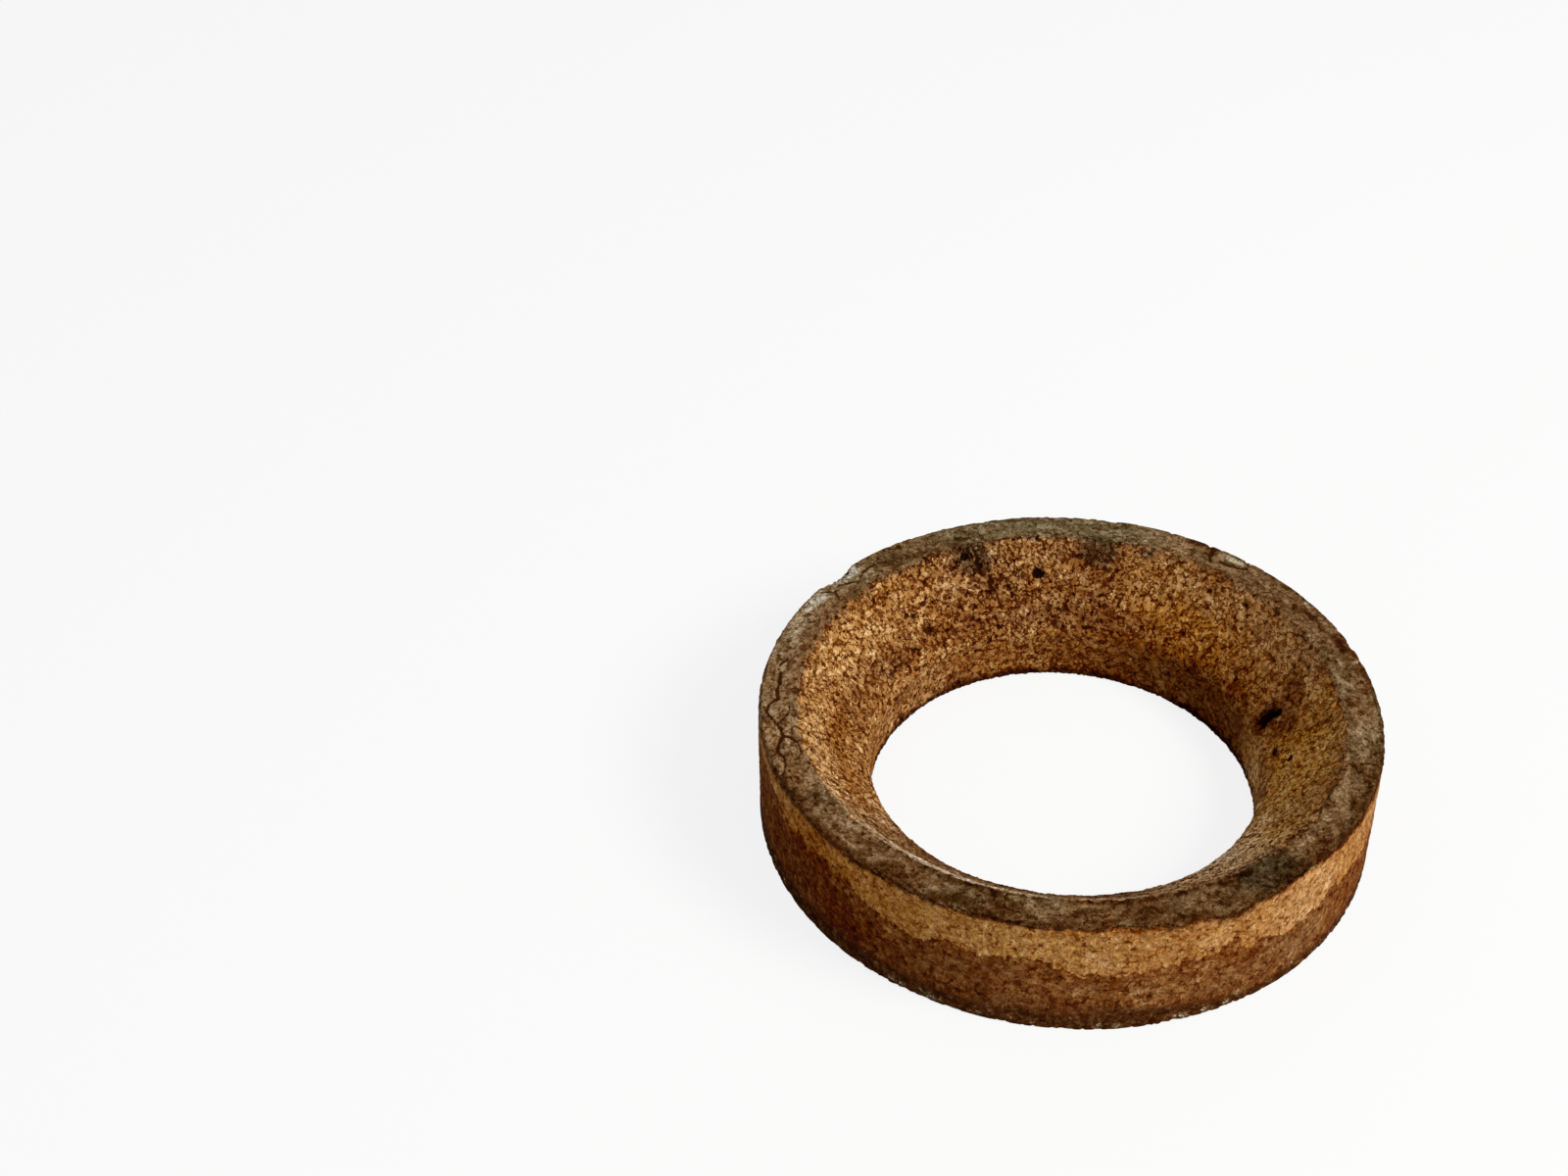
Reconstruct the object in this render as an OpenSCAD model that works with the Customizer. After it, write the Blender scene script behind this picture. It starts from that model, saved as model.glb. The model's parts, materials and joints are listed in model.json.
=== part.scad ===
// Ring of pressed cork granules that stands a round-bottomed flask upright.
// The flask rests in the sloping seat, and its bottom hangs in the central hole.
// Millimetres, +Z up, origin at the centre of the flat bottom face.

/* [Ring] */
// Outside diameter
ring_d = 140; // [130:1:160]
// Height from the flat bottom to the rim
ring_h = 30; // [27:0.5:40]
// Diameter of the central hole
hole_d = 89; // [78:1:98]
// Width of the flat rim on top
rim_w = 8.6; // [6:0.2:12]
// Slope of the flask seat above the horizontal, in degrees
seat_slope = 44; // [36:1:52]

/* [Rubbed edges] */
// Rounding of the outer top edge
top_edge_r = 1.3; // [0.5:0.1:2.5]
// Rounding of the outer bottom edge
base_edge_r = 0.8; // [0.3:0.1:2]
// Rounding where the rim turns down into the seat
seat_edge_r = 2; // [0.5:0.1:4]
// Rounding where the seat turns down into the hole's wall
throat_edge_r = 5; // [1:0.5:8]
// Rounding of the hole's bottom edge
hole_edge_r = 0.6; // [0.3:0.1:2]

/* [Scuffed band] */
// Height of the lower wall that still has its skin
skin_h = 16; // [10:0.5:22]
// How far the wall above the skin is rubbed back
scuff_depth = 0.4; // [0.2:0.05:0.8]

/* [Chips] */
// Length of the big chip along the outer top edge
chip_w = 12; // [6:0.5:16]
// Depth of the big chip, square to the edge
chip_depth = 1.9; // [1:0.1:2.5]
// Direction of the big chip, in degrees from +X
chip_at = 137.5; // [120:0.5:160]
// Length of each small nick along the outer top edge
nick_w = 5; // [3:0.5:7]
// Depth of each small nick, square to the edge
nick_depth = 1; // [0.5:0.1:1.3]
// Radius of the round pits where granules fell out of the seat
pit_r = 1.3; // [0.8:0.1:1.8]
// Length of the gouge that runs down the seat
gouge_l = 5; // [4:0.5:7]
// Radius of the gouge across its run
gouge_r = 1.4; // [1:0.1:1.8]

/* [Hidden] */

ring_r = ring_d / 2;
hole_r = hole_d / 2;
seat_top_r = ring_r - rim_w;
seat_run = seat_top_r - hole_r;
seat_drop = seat_run * tan(seat_slope);
throat_z = ring_h - seat_drop;
scuff_r = ring_r - scuff_depth;
// facets of a preview circle: the lathe's turn, a rounded corner and a ball
lathe_fn = 180;
corner_fn = 64;
ball_fn = 40;

// directions of the small nicks in the outer top edge, in degrees
nick_angles = [10.5, 15, 47];
// pits in the seat: direction in degrees, share of the seat's run below the rim, share of pit_r
seat_pits = [[91.5, 0.4, 1], [108.3, 0.12, 0.85], [104.5, 0.3, 0.5], [125, 0.72, 0.6], [-3.8, 0.8, 0.7], [-60.5, 0.02, 1.1]];
// the gouge's direction in degrees, and where on the seat's run its upper end lies
gouge_at = 9.5;
gouge_top = 0.62;

// Section of the ring, counter-clockwise from the hole's bottom edge, as [r, z, rounding].
section = [
    [hole_r, 0, hole_edge_r],
    [ring_r, 0, base_edge_r],
    [ring_r, skin_h, 0],
    [scuff_r, skin_h + scuff_depth, 0],
    [scuff_r, ring_h, top_edge_r],
    [seat_top_r, ring_h, seat_edge_r],
    [hole_r, throat_z, throat_edge_r],
];

function xy(p) = [p[0], p[1]];
function unit(v) = v / norm(v);
// half the solid angle at corner i of outline o, and the way to the next and the last corner
function ahead(o, i) = unit(xy(o[(i + 1) % len(o)]) - xy(o[i]));
function behind(o, i) = unit(xy(o[(i + len(o) - 1) % len(o)]) - xy(o[i]));
function half_angle(o, i) = acos(ahead(o, i) * behind(o, i)) / 2;
function setback(o, i) = o[i][2] / tan(half_angle(o, i));

// Rounds the raised corners of an outline: each corner is cut back to where its arc starts and
// ends, and the arc's own circle fills the cut.
module rounded_outline(o) {
    polygon([
        for (i = [0 : len(o) - 1])
            for (side = o[i][2] > 0 ? [behind(o, i), ahead(o, i)] : [[0, 0]])
                xy(o[i]) + side * setback(o, i)
    ]);
    for (i = [0 : len(o) - 1])
        if (o[i][2] > 0)
            translate(xy(o[i]) + unit(ahead(o, i) + behind(o, i)) * o[i][2] / sin(half_angle(o, i)))
                circle(r = o[i][2], $fn = corner_fn);
}

// The ring as it was turned, with its rubbed edges and its scuffed upper wall.
module turned_ring() {
    rotate_extrude($fn = lathe_fn) rounded_outline(section);
}

// A shallow scallop, w long and d deep, out of the outer top edge.
module edge_scallop(angle, w, d) {
    ball_r = (w * w / 4 + d * d) / (2 * d);
    off = (ball_r - d) / sqrt(2);
    rotate([0, 0, angle])
        translate([scuff_r + off, 0, ring_h + off])
            sphere(r = ball_r, $fn = ball_fn);
}

// A round hollow in the seat, centred on its surface; run is 0 at the rim and 1 at the throat.
module seat_hollow(angle, run, r) {
    rotate([0, 0, angle])
        translate([seat_top_r - run * seat_run, 0, ring_h - run * seat_drop])
            sphere(r = r, $fn = ball_fn);
}

module chips_and_pits() {
    edge_scallop(chip_at, chip_w, chip_depth);
    for (a = nick_angles) edge_scallop(a, nick_w, nick_depth);
    for (p = seat_pits) seat_hollow(p[0], p[1], pit_r * p[2]);
    // the gouge: overlapping hollows in a line down the seat
    steps = ceil(gouge_l / gouge_r);
    for (i = [0 : steps])
        seat_hollow(gouge_at, gouge_top + (i / steps) * (gouge_l - gouge_r) / norm([seat_run, seat_drop]), gouge_r);
}

module cork_ring() {
    color("burlywood")
        difference() {
            turned_ring();
            chips_and_pits();
        }
}

cork_ring();
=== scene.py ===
import json
import math
import bpy
import numpy as np
from mathutils import Matrix, Vector


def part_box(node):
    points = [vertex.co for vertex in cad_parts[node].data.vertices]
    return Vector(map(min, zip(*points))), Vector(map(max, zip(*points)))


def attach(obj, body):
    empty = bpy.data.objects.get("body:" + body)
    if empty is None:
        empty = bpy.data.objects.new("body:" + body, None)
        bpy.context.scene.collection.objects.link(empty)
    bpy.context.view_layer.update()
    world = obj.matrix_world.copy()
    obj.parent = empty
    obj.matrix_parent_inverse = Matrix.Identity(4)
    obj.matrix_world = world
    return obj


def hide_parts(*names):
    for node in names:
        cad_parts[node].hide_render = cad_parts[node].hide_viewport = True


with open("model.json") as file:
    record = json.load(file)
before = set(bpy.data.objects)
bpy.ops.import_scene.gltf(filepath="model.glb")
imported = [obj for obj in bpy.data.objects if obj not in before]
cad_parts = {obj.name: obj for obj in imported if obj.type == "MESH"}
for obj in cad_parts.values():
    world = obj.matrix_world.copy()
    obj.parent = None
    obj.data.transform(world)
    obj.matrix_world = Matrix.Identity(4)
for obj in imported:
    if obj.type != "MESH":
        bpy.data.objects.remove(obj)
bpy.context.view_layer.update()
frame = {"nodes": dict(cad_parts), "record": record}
print("frame loaded:", sorted(frame["nodes"]))

mm = 0.001
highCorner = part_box("cork_ring")[1]
outer = highCorner.x / mm
high = highCorner.z / mm
flaskHole = [m for m in frame["record"]["mounts"] if m["name"] == "flask_hole"][0]
hole = flaskHole["dims"]["r_mm"]

cameraSetup = {
    "place": (-0.06368, -0.39872, 0.38464),  # metres, from the centre of the ring's underside
    "tiltDown": 38.803,  # degrees below the horizontal
    "roll": -0.83,
    "focal": 54.42,  # millimetres, as the sensor
    "sensor": 36,
}


def aimCamera(setup):
    data = bpy.data.cameras.new("camera")
    data.sensor_width = setup["sensor"]
    data.lens = setup["focal"]
    data.clip_start = 0.01
    camera = bpy.data.objects.new("camera", data)
    tilt = Matrix.Rotation(math.radians(90 - setup["tiltDown"]), 4, "X")
    roll = Matrix.Rotation(math.radians(setup["roll"]), 4, "Z")
    camera.matrix_world = Matrix.Translation(setup["place"]) @ tilt @ roll
    bpy.context.scene.collection.objects.link(camera)
    bpy.context.scene.camera = camera


lampSetup = {
    "size": 0.5,  # metres, as its place and target
    "power": 12.0,  # watts
    "place": (0.72, -0.42, 0.80),
    "target": (0, 0, 0.01),
    "colour": (1.0, 0.975, 0.94),
}
skySetup = {
    "strength": 0.42,  # of its light; the camera sees it white
    "colour": (0.97, 0.985, 1.0, 1),
}


def hangLamp(setup):
    data = bpy.data.lights.new("key", "AREA")
    data.shape = "DISK"
    data.size = setup["size"]
    data.energy = setup["power"]
    data.color = setup["colour"]
    lamp = bpy.data.objects.new("key", data)
    way = Vector(setup["target"]) - Vector(setup["place"])
    turned = way.to_track_quat("-Z", "Y").to_matrix().to_4x4()
    lamp.matrix_world = Matrix.Translation(setup["place"]) @ turned
    bpy.context.scene.collection.objects.link(lamp)


def addNode(tree, kind, **settings):
    made = tree.nodes.new(kind)
    for name, value in settings.items():
        setattr(made, name, value)
    return made


def feed(tree, socket, value):
    if isinstance(value, bpy.types.NodeSocket):
        tree.links.new(value, socket)
    elif value is not None:
        socket.default_value = value


def calc(tree, operation, *values):
    made = addNode(tree, "ShaderNodeMath", operation=operation)
    for socket, value in zip(made.inputs, values):
        feed(tree, socket, value)
    return made.outputs[0]


def forCamera(tree, share, seen, other, outputKind):
    # the camera sees so much of one shader, and all other rays meet only the other
    rays = addNode(tree, "ShaderNodeLightPath")
    mix = addNode(tree, "ShaderNodeMixShader")
    out = addNode(tree, outputKind)
    feed(tree, mix.inputs["Fac"], calc(tree, "MULTIPLY", rays.outputs["Is Camera Ray"], share))
    feed(tree, mix.inputs[1], other.outputs[0])
    feed(tree, mix.inputs[2], seen.outputs[0])
    feed(tree, out.inputs["Surface"], mix.outputs["Shader"])


def paintSky(setup):
    world = bpy.data.worlds.new("studio")
    bpy.context.scene.world = world
    world.use_nodes = True
    tree = world.node_tree
    tree.nodes.clear()
    seen = addNode(tree, "ShaderNodeBackground")
    light = addNode(tree, "ShaderNodeBackground")
    seen.inputs["Color"].default_value = (1, 1, 1, 1)
    light.inputs["Color"].default_value = setup["colour"]
    light.inputs["Strength"].default_value = setup["strength"]
    forCamera(tree, 1, seen, light, "ShaderNodeOutputWorld")


floorSetup = {
    "size": 16.0,  # metres
    "colour": (0.8, 0.8, 0.8, 1),
    "white": 0.84,  # how much of it the camera sees as plain white whatever the light
}


def layFloor(setup):
    mesh = bpy.data.meshes.new("floor")
    h = setup["size"] / 2
    mesh.from_pydata([(-h, -h, 0), (h, -h, 0), (h, h, 0), (-h, h, 0)], [], [(0, 1, 2, 3)])
    floor = bpy.data.objects.new("floor", mesh)
    bpy.context.scene.collection.objects.link(floor)
    paint = bpy.data.materials.new("paleFloor")
    paint.use_nodes = True
    tree = paint.node_tree
    tree.nodes.clear()
    matt = addNode(tree, "ShaderNodeBsdfDiffuse")
    matt.inputs["Color"].default_value = setup["colour"]
    forCamera(tree, setup["white"], addNode(tree, "ShaderNodeEmission"), matt, "ShaderNodeOutputMaterial")
    mesh.materials.append(paint)


aimCamera(cameraSetup)
hangLamp(lampSetup)
paintSky(skySetup)
layFloor(floorSetup)
bpy.context.scene.view_settings.view_transform = "Standard"
print("camera, lamp and floor are in place")

ringShape = {
    "rimWidth": 8.6,  # millimetres, as all sizes here
    "seatSlope": 44,  # degrees
    "baseEdge": 0.8,  # the roundings' radii
    "topEdge": 1.3,
    "seatEdge": 0.7,
    "throatEdge": 5,
    "holeEdge": 0.6,
    "holeStep": 0.85,  # between rows
    "seatStep": 0.6,
    "rimStep": 0.6,
    "wallStep": 0.72,
    "undersideStep": 4.2,
    "cornerStep": 0.5,  # between rows on the roundings
    "turns": 806,  # steps round the ring
}
rimInner = outer - ringShape["rimWidth"]
slope = math.radians(ringShape["seatSlope"])
throat = high - (rimInner - hole) * math.tan(slope)


def cornerList(shape):  # r, z, rounding, step between rows up to the next corner
    return [
        (hole, 0, shape["holeEdge"], shape["holeStep"]),
        (hole, throat, shape["throatEdge"], shape["seatStep"]),
        (rimInner, high, shape["seatEdge"], shape["rimStep"]),
        (outer, high, shape["topEdge"], shape["wallStep"]),
        (outer, 0, shape["baseEdge"], shape["undersideStep"]),
    ]


def roundedSection(corners, cornerStep):
    # clockwise, seen with r to the right and z up: points, and their place along the sharp outline
    count = len(corners)
    sharp = [np.array(c[:2], float) for c in corners]
    ways = [(sharp[(i + 1) % count] - sharp[i]) for i in range(count)]
    sides = [np.linalg.norm(w) for w in ways]
    ways = [w / s for w, s in zip(ways, sides)]
    reach = [sum(sides[:i]) for i in range(count)]
    halves = [math.acos(float(-ways[i - 1] @ ways[i])) / 2 for i in range(count)]
    cuts = [c[2] / math.tan(h) for c, h in zip(corners, halves)]
    points = []
    along = []
    for i in range(count):
        radius, step = corners[i][2:]
        bisector = ways[i] - ways[i - 1]
        middle = sharp[i] + bisector / np.linalg.norm(bisector) * radius / math.sin(halves[i])
        start = sharp[i] - ways[i - 1] * cuts[i]
        end = sharp[i] + ways[i] * cuts[i]
        a = math.atan2(*(start - middle)[::-1])
        turn = (math.atan2(*(end - middle)[::-1]) - a + math.pi) % (2 * math.pi) - math.pi
        steps = max(2, round(abs(turn) * radius / cornerStep))
        for k in range(steps + 1):
            t = a + turn * k / steps
            points.append(middle + radius * np.array([math.cos(t), math.sin(t)]))
            along.append(reach[i] - cuts[i] + 2 * cuts[i] * k / steps)
        length = sides[i] - cuts[i] - cuts[(i + 1) % count]
        rows = max(1, round(length / step))
        for k in range(1, rows):
            points.append(end + ways[i] * length * k / rows)
            along.append(reach[i] + cuts[i] + length * k / rows)
    return np.array(points), np.array(along), reach


section, sectionAlong, cornersAlong = roundedSection(cornerList(ringShape), ringShape["cornerStep"])
rowCount = len(section)
throatAt, rimAt, wallAt, baseAt = cornersAlong[1:]
print("section rows:", rowCount, "triangles:", 2 * rowCount * ringShape["turns"])

grain = {
    "size": 1.45,  # millimetres from one granule to the next
    "wobble": 0.75,  # how far the joints between granules wander
    "jointWidth": 0.5,
    "seatRelief": 0.30,  # depth of the joints
    "holeRelief": 0.30,
    "rimRelief": 0.10,
    "wallRelief": 0.16,
    "undersideRelief": 0.10,
    "jointShare": 0.5,  # of that depth
    "tearShare": 0.9,  # of that depth: tears that take no notice of the joints
    "tearSize": 1.2,
    "swell": 0.14,  # slow unevenness of the pressed surface
    "swellSize": 9.0,
    "jaggedSize": 2.4,  # of the crooks in the edges of all marks
    # the shader's own granules
    "smallSize": 0.8,  # the small granules among the others
    "fineSize": 0.42,
    "openingSize": 1.7,  # the lengths over which joints open and close
    "strokeSize": 1.5,  # crooked dark and light strokes
    "fallenSize": 1.7,  # granules that may have fallen out
}


def vectorCalc(tree, operation, *values):
    made = addNode(tree, "ShaderNodeVectorMath", operation=operation)
    for socket, value in zip(made.inputs, values):
        feed(tree, socket, value)
    return made.outputs["Vector"]


def scaled(tree, vector, factor):
    made = addNode(tree, "ShaderNodeVectorMath", operation="SCALE")
    feed(tree, made.inputs[0], vector)
    feed(tree, made.inputs["Scale"], factor)
    return made.outputs["Vector"]


def fade(tree, value, low, high, start=0.0, end=1.0):
    # smooth step from low to high
    made = addNode(tree, "ShaderNodeMapRange", interpolation_type="SMOOTHSTEP")
    names = ("Value", "From Min", "From Max", "To Min", "To Max")
    for name, given in zip(names, (value, low, high, start, end)):
        feed(tree, made.inputs[name], given)
    return made.outputs["Result"]


def noise(tree, place, size, detail=2.0, roughness=0.5, output="Fac"):
    # the size is in the units of the place, as all sizes here
    made = addNode(tree, "ShaderNodeTexNoise", noise_dimensions="3D")
    feed(tree, made.inputs["Vector"], place)
    made.inputs["Scale"].default_value = 1 / size
    made.inputs["Detail"].default_value = detail
    made.inputs["Roughness"].default_value = roughness
    return made.outputs[output]


def cells(tree, place, size, feature, output="Distance"):
    made = addNode(tree, "ShaderNodeTexVoronoi", voronoi_dimensions="3D", feature=feature)
    feed(tree, made.inputs["Vector"], place)
    made.inputs["Scale"].default_value = 1 / size
    return made.outputs[output]


def wander(tree, place, reach):
    # place shifted by a noise of up to about reach
    centred = vectorCalc(tree, "SUBTRACT", noise(tree, place, 1.3, output="Color"), (0.5, 0.5, 0.5))
    return vectorCalc(tree, "ADD", place, scaled(tree, centred, reach * 2))


def spread(tree, value, reach):
    # a value from 0 to 1 turned into one from -reach to reach
    return calc(tree, "MULTIPLY_ADD", value, 2 * reach, -reach)


def sweepTree(paint):
    tree = bpy.data.node_groups.new("turnedCork", "GeometryNodeTree")
    face = tree.interface
    face.new_socket("Section", in_out="INPUT", socket_type="NodeSocketGeometry")
    inputs = {}
    for name, kind, start in (
        ("Turns", "NodeSocketInt", 100),
        ("Turning Radius", "NodeSocketFloat", 0.05),
        ("Joint Width", "NodeSocketFloat", 0.4),
        ("Swell", "NodeSocketFloat", 0.1),
    ):
        socket = face.new_socket(name, in_out="INPUT", socket_type=kind)
        socket.default_value = start
        inputs[name] = socket.identifier
    face.new_socket("Ring", in_out="OUTPUT", socket_type="NodeSocketGeometry")
    given = addNode(tree, "NodeGroupInput")
    result = addNode(tree, "NodeGroupOutput")
    toCurve = addNode(tree, "GeometryNodeMeshToCurve")
    circle = addNode(tree, "GeometryNodeCurvePrimitiveCircle")
    sweep = addNode(tree, "GeometryNodeCurveToMesh")
    tree.links.new(given.outputs["Section"], toCurve.inputs["Mesh"])
    tree.links.new(given.outputs["Turns"], circle.inputs["Resolution"])
    tree.links.new(given.outputs["Turning Radius"], circle.inputs["Radius"])
    tree.links.new(circle.outputs["Curve"], sweep.inputs["Curve"])
    tree.links.new(toCurve.outputs["Curve"], sweep.inputs["Profile Curve"])

    def keep(geometry, name, kind, value):
        store = addNode(tree, "GeometryNodeStoreNamedAttribute", data_type=kind, domain="POINT")
        store.inputs["Name"].default_value = name
        tree.links.new(geometry, store.inputs["Geometry"])
        tree.links.new(value, store.inputs["Value"])
        return store.outputs["Geometry"]

    def kept(name, kind):
        read = addNode(tree, "GeometryNodeInputNamedAttribute", data_type=kind)
        read.inputs["Name"].default_value = name
        return read.outputs["Attribute"]

    here = addNode(tree, "GeometryNodeInputPosition").outputs[0]
    facing = addNode(tree, "GeometryNodeInputNormal").outputs[0]
    shape = keep(sweep.outputs["Mesh"], "restPlace", "FLOAT_VECTOR", scaled(tree, here, 1 / mm))
    shape = keep(shape, "restNormal", "FLOAT_VECTOR", facing)
    restPlace = kept("restPlace", "FLOAT_VECTOR")
    warped = wander(tree, restPlace, grain["wobble"])
    toJoint = calc(tree, "MULTIPLY", cells(tree, warped, grain["size"], "DISTANCE_TO_EDGE"), grain["size"])
    joint = fade(tree, toJoint, 0.0, given.outputs["Joint Width"], 1.0, 0.0)
    apart = addNode(tree, "ShaderNodeSeparateXYZ")
    tree.links.new(cells(tree, warped, grain["size"], "F1", "Color"), apart.inputs["Vector"])
    jagged = spread(tree, noise(tree, restPlace, grain["jaggedSize"], 3.0, 0.6), 1.0)
    slow = calc(tree, "MULTIPLY", noise(tree, restPlace, grain["swellSize"]), given.outputs["Swell"])
    torn = spread(tree, noise(tree, restPlace, grain["tearSize"], 3.0, 0.65), grain["tearShare"])
    broken = calc(tree, "MULTIPLY_ADD", joint, grain["jointShare"], torn)
    sink = calc(tree, "MULTIPLY_ADD", broken, kept("relief", "FLOAT"), slow)
    shape = keep(shape, "granule", "FLOAT", apart.outputs["X"])
    shape = keep(shape, "jagged", "FLOAT", jagged)
    moved = addNode(tree, "GeometryNodeSetPosition")
    tree.links.new(shape, moved.inputs["Geometry"])
    tree.links.new(scaled(tree, facing, calc(tree, "MULTIPLY", sink, -mm)), moved.inputs["Offset"])
    smooth = addNode(tree, "GeometryNodeSetShadeSmooth")
    real = addNode(tree, "GeometryNodeRealizeInstances")
    finish = addNode(tree, "GeometryNodeSetMaterial")
    finish.inputs["Material"].default_value = paint
    tree.links.new(moved.outputs["Geometry"], smooth.inputs["Geometry"])
    tree.links.new(smooth.outputs["Geometry"], real.inputs["Geometry"])
    tree.links.new(real.outputs["Geometry"], finish.inputs["Geometry"])
    tree.links.new(finish.outputs["Geometry"], result.inputs["Ring"])
    return tree, inputs


def reliefAlong(along):  # depth of the joints at each row of the section
    stops = [0, throatAt - 3, throatAt + 2, rimAt - 0.6, rimAt + 0.4, wallAt - 0.4, wallAt + 0.8,
             baseAt - 0.5, baseAt + 2, 110]
    names = ["hole", "hole", "seat", "seat", "rim", "rim", "wall", "wall", "underside", "underside"]
    return np.interp(along, stops, [grain[n + "Relief"] for n in names])


def turnRing(paint):
    profile = bpy.data.meshes.new("section")
    middle = (hole + outer) / 2
    spots = [((r - middle) * mm, -z * mm, 0) for r, z in section]
    profile.from_pydata(spots, [(i, (i + 1) % rowCount) for i in range(rowCount)], [])
    profile.attributes.new("relief", "FLOAT", "POINT").data.foreach_set("value", reliefAlong(sectionAlong))
    holder = bpy.data.objects.new("section", profile)
    bpy.context.scene.collection.objects.link(holder)
    tree, inputs = sweepTree(paint)
    maker = holder.modifiers.new("turn", "NODES")
    maker.node_group = tree
    maker[inputs["Turns"]] = ringShape["turns"]
    maker[inputs["Turning Radius"]] = middle * mm
    maker[inputs["Joint Width"]] = grain["jointWidth"]
    maker[inputs["Swell"]] = grain["swell"]
    made = holder.evaluated_get(bpy.context.evaluated_depsgraph_get())
    mesh = bpy.data.meshes.new_from_object(made)
    mesh.name = "corkRing"
    holder.modifiers.clear()
    bpy.data.objects.remove(holder)
    ring = bpy.data.objects.new("corkRing", mesh)
    bpy.context.scene.collection.objects.link(ring)
    return ring


cork = bpy.data.materials.new("pressedCork")
cork.use_nodes = True
ring = turnRing(cork)
ringMesh = ring.data
print("ring swept:", len(ringMesh.vertices), "points,", len(ringMesh.polygons), "faces")


def readPoints(name, width=1):
    data = ringMesh.attributes[name].data
    values = np.zeros(len(data) * width, np.float32)
    data.foreach_get("vector" if width == 3 else "value", values)
    return values.reshape(-1, 3).astype(float) if width == 3 else values.astype(float)


restPlace = readPoints("restPlace", 3)
restNormal = readPoints("restNormal", 3)
granule = readPoints("granule")
jagged = readPoints("jagged")
angle = np.degrees(np.arctan2(restPlace[:, 1], restPlace[:, 0]))
radius = np.hypot(restPlace[:, 0], restPlace[:, 1])
along = np.tile(sectionAlong, ringShape["turns"])


def onHole(up):  # up the hole's wall
    return up


def onSeat(down):  # from the rim's inner edge down the slope, to a place along the section
    return rimAt - down


def onRim(r):
    return rimAt + r - rimInner


def onWall(down):  # from the rim's height downwards
    return wallAt + down


def wrapped(degrees):  # into the range from -180 to 180
    return (degrees + 180) % 360 - 180


def smoothStep(value, low, high):
    t = np.clip((value - low) / (high - low), 0, 1)
    return t * t * (3 - 2 * t)


def away(angleAt, alongAt):  # millimetres round the turn and along the section
    return np.radians(wrapped(angle - angleAt)) * radius, along - alongAt


def lineAway(stops):  # distance to a line through places (angle, along)
    gaps = []
    for (angleFrom, alongFrom), (angleTo, alongTo) in zip(stops, stops[1:]):
        u, v = away(angleFrom, alongFrom)
        du = np.radians(wrapped(angleTo - angleFrom)) * radius
        dv = alongTo - alongFrom
        t = np.clip((u * du + v * dv) / (du * du + dv * dv), 0, 1)
        gaps.append(np.hypot(u - t * du, v - t * dv))
    return np.min(gaps, axis=0)


def ovalAway(angleAt, alongAt, wide, tall, ragged):  # 1 on the oval's edge, 0 in its middle
    u, v = away(angleAt, alongAt)
    return np.hypot(u / (wide / 2), v / (tall / 2)) + jagged * ragged


def byAngle(stops):  # a value that goes round the ring through stops of (angle, value)
    first, *others = sorted(stops)
    last = others[-1]
    around = [(last[0] - 360, last[1]), first, *others, (first[0] + 360, first[1])]
    return np.interp(angle, *zip(*around))


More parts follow.
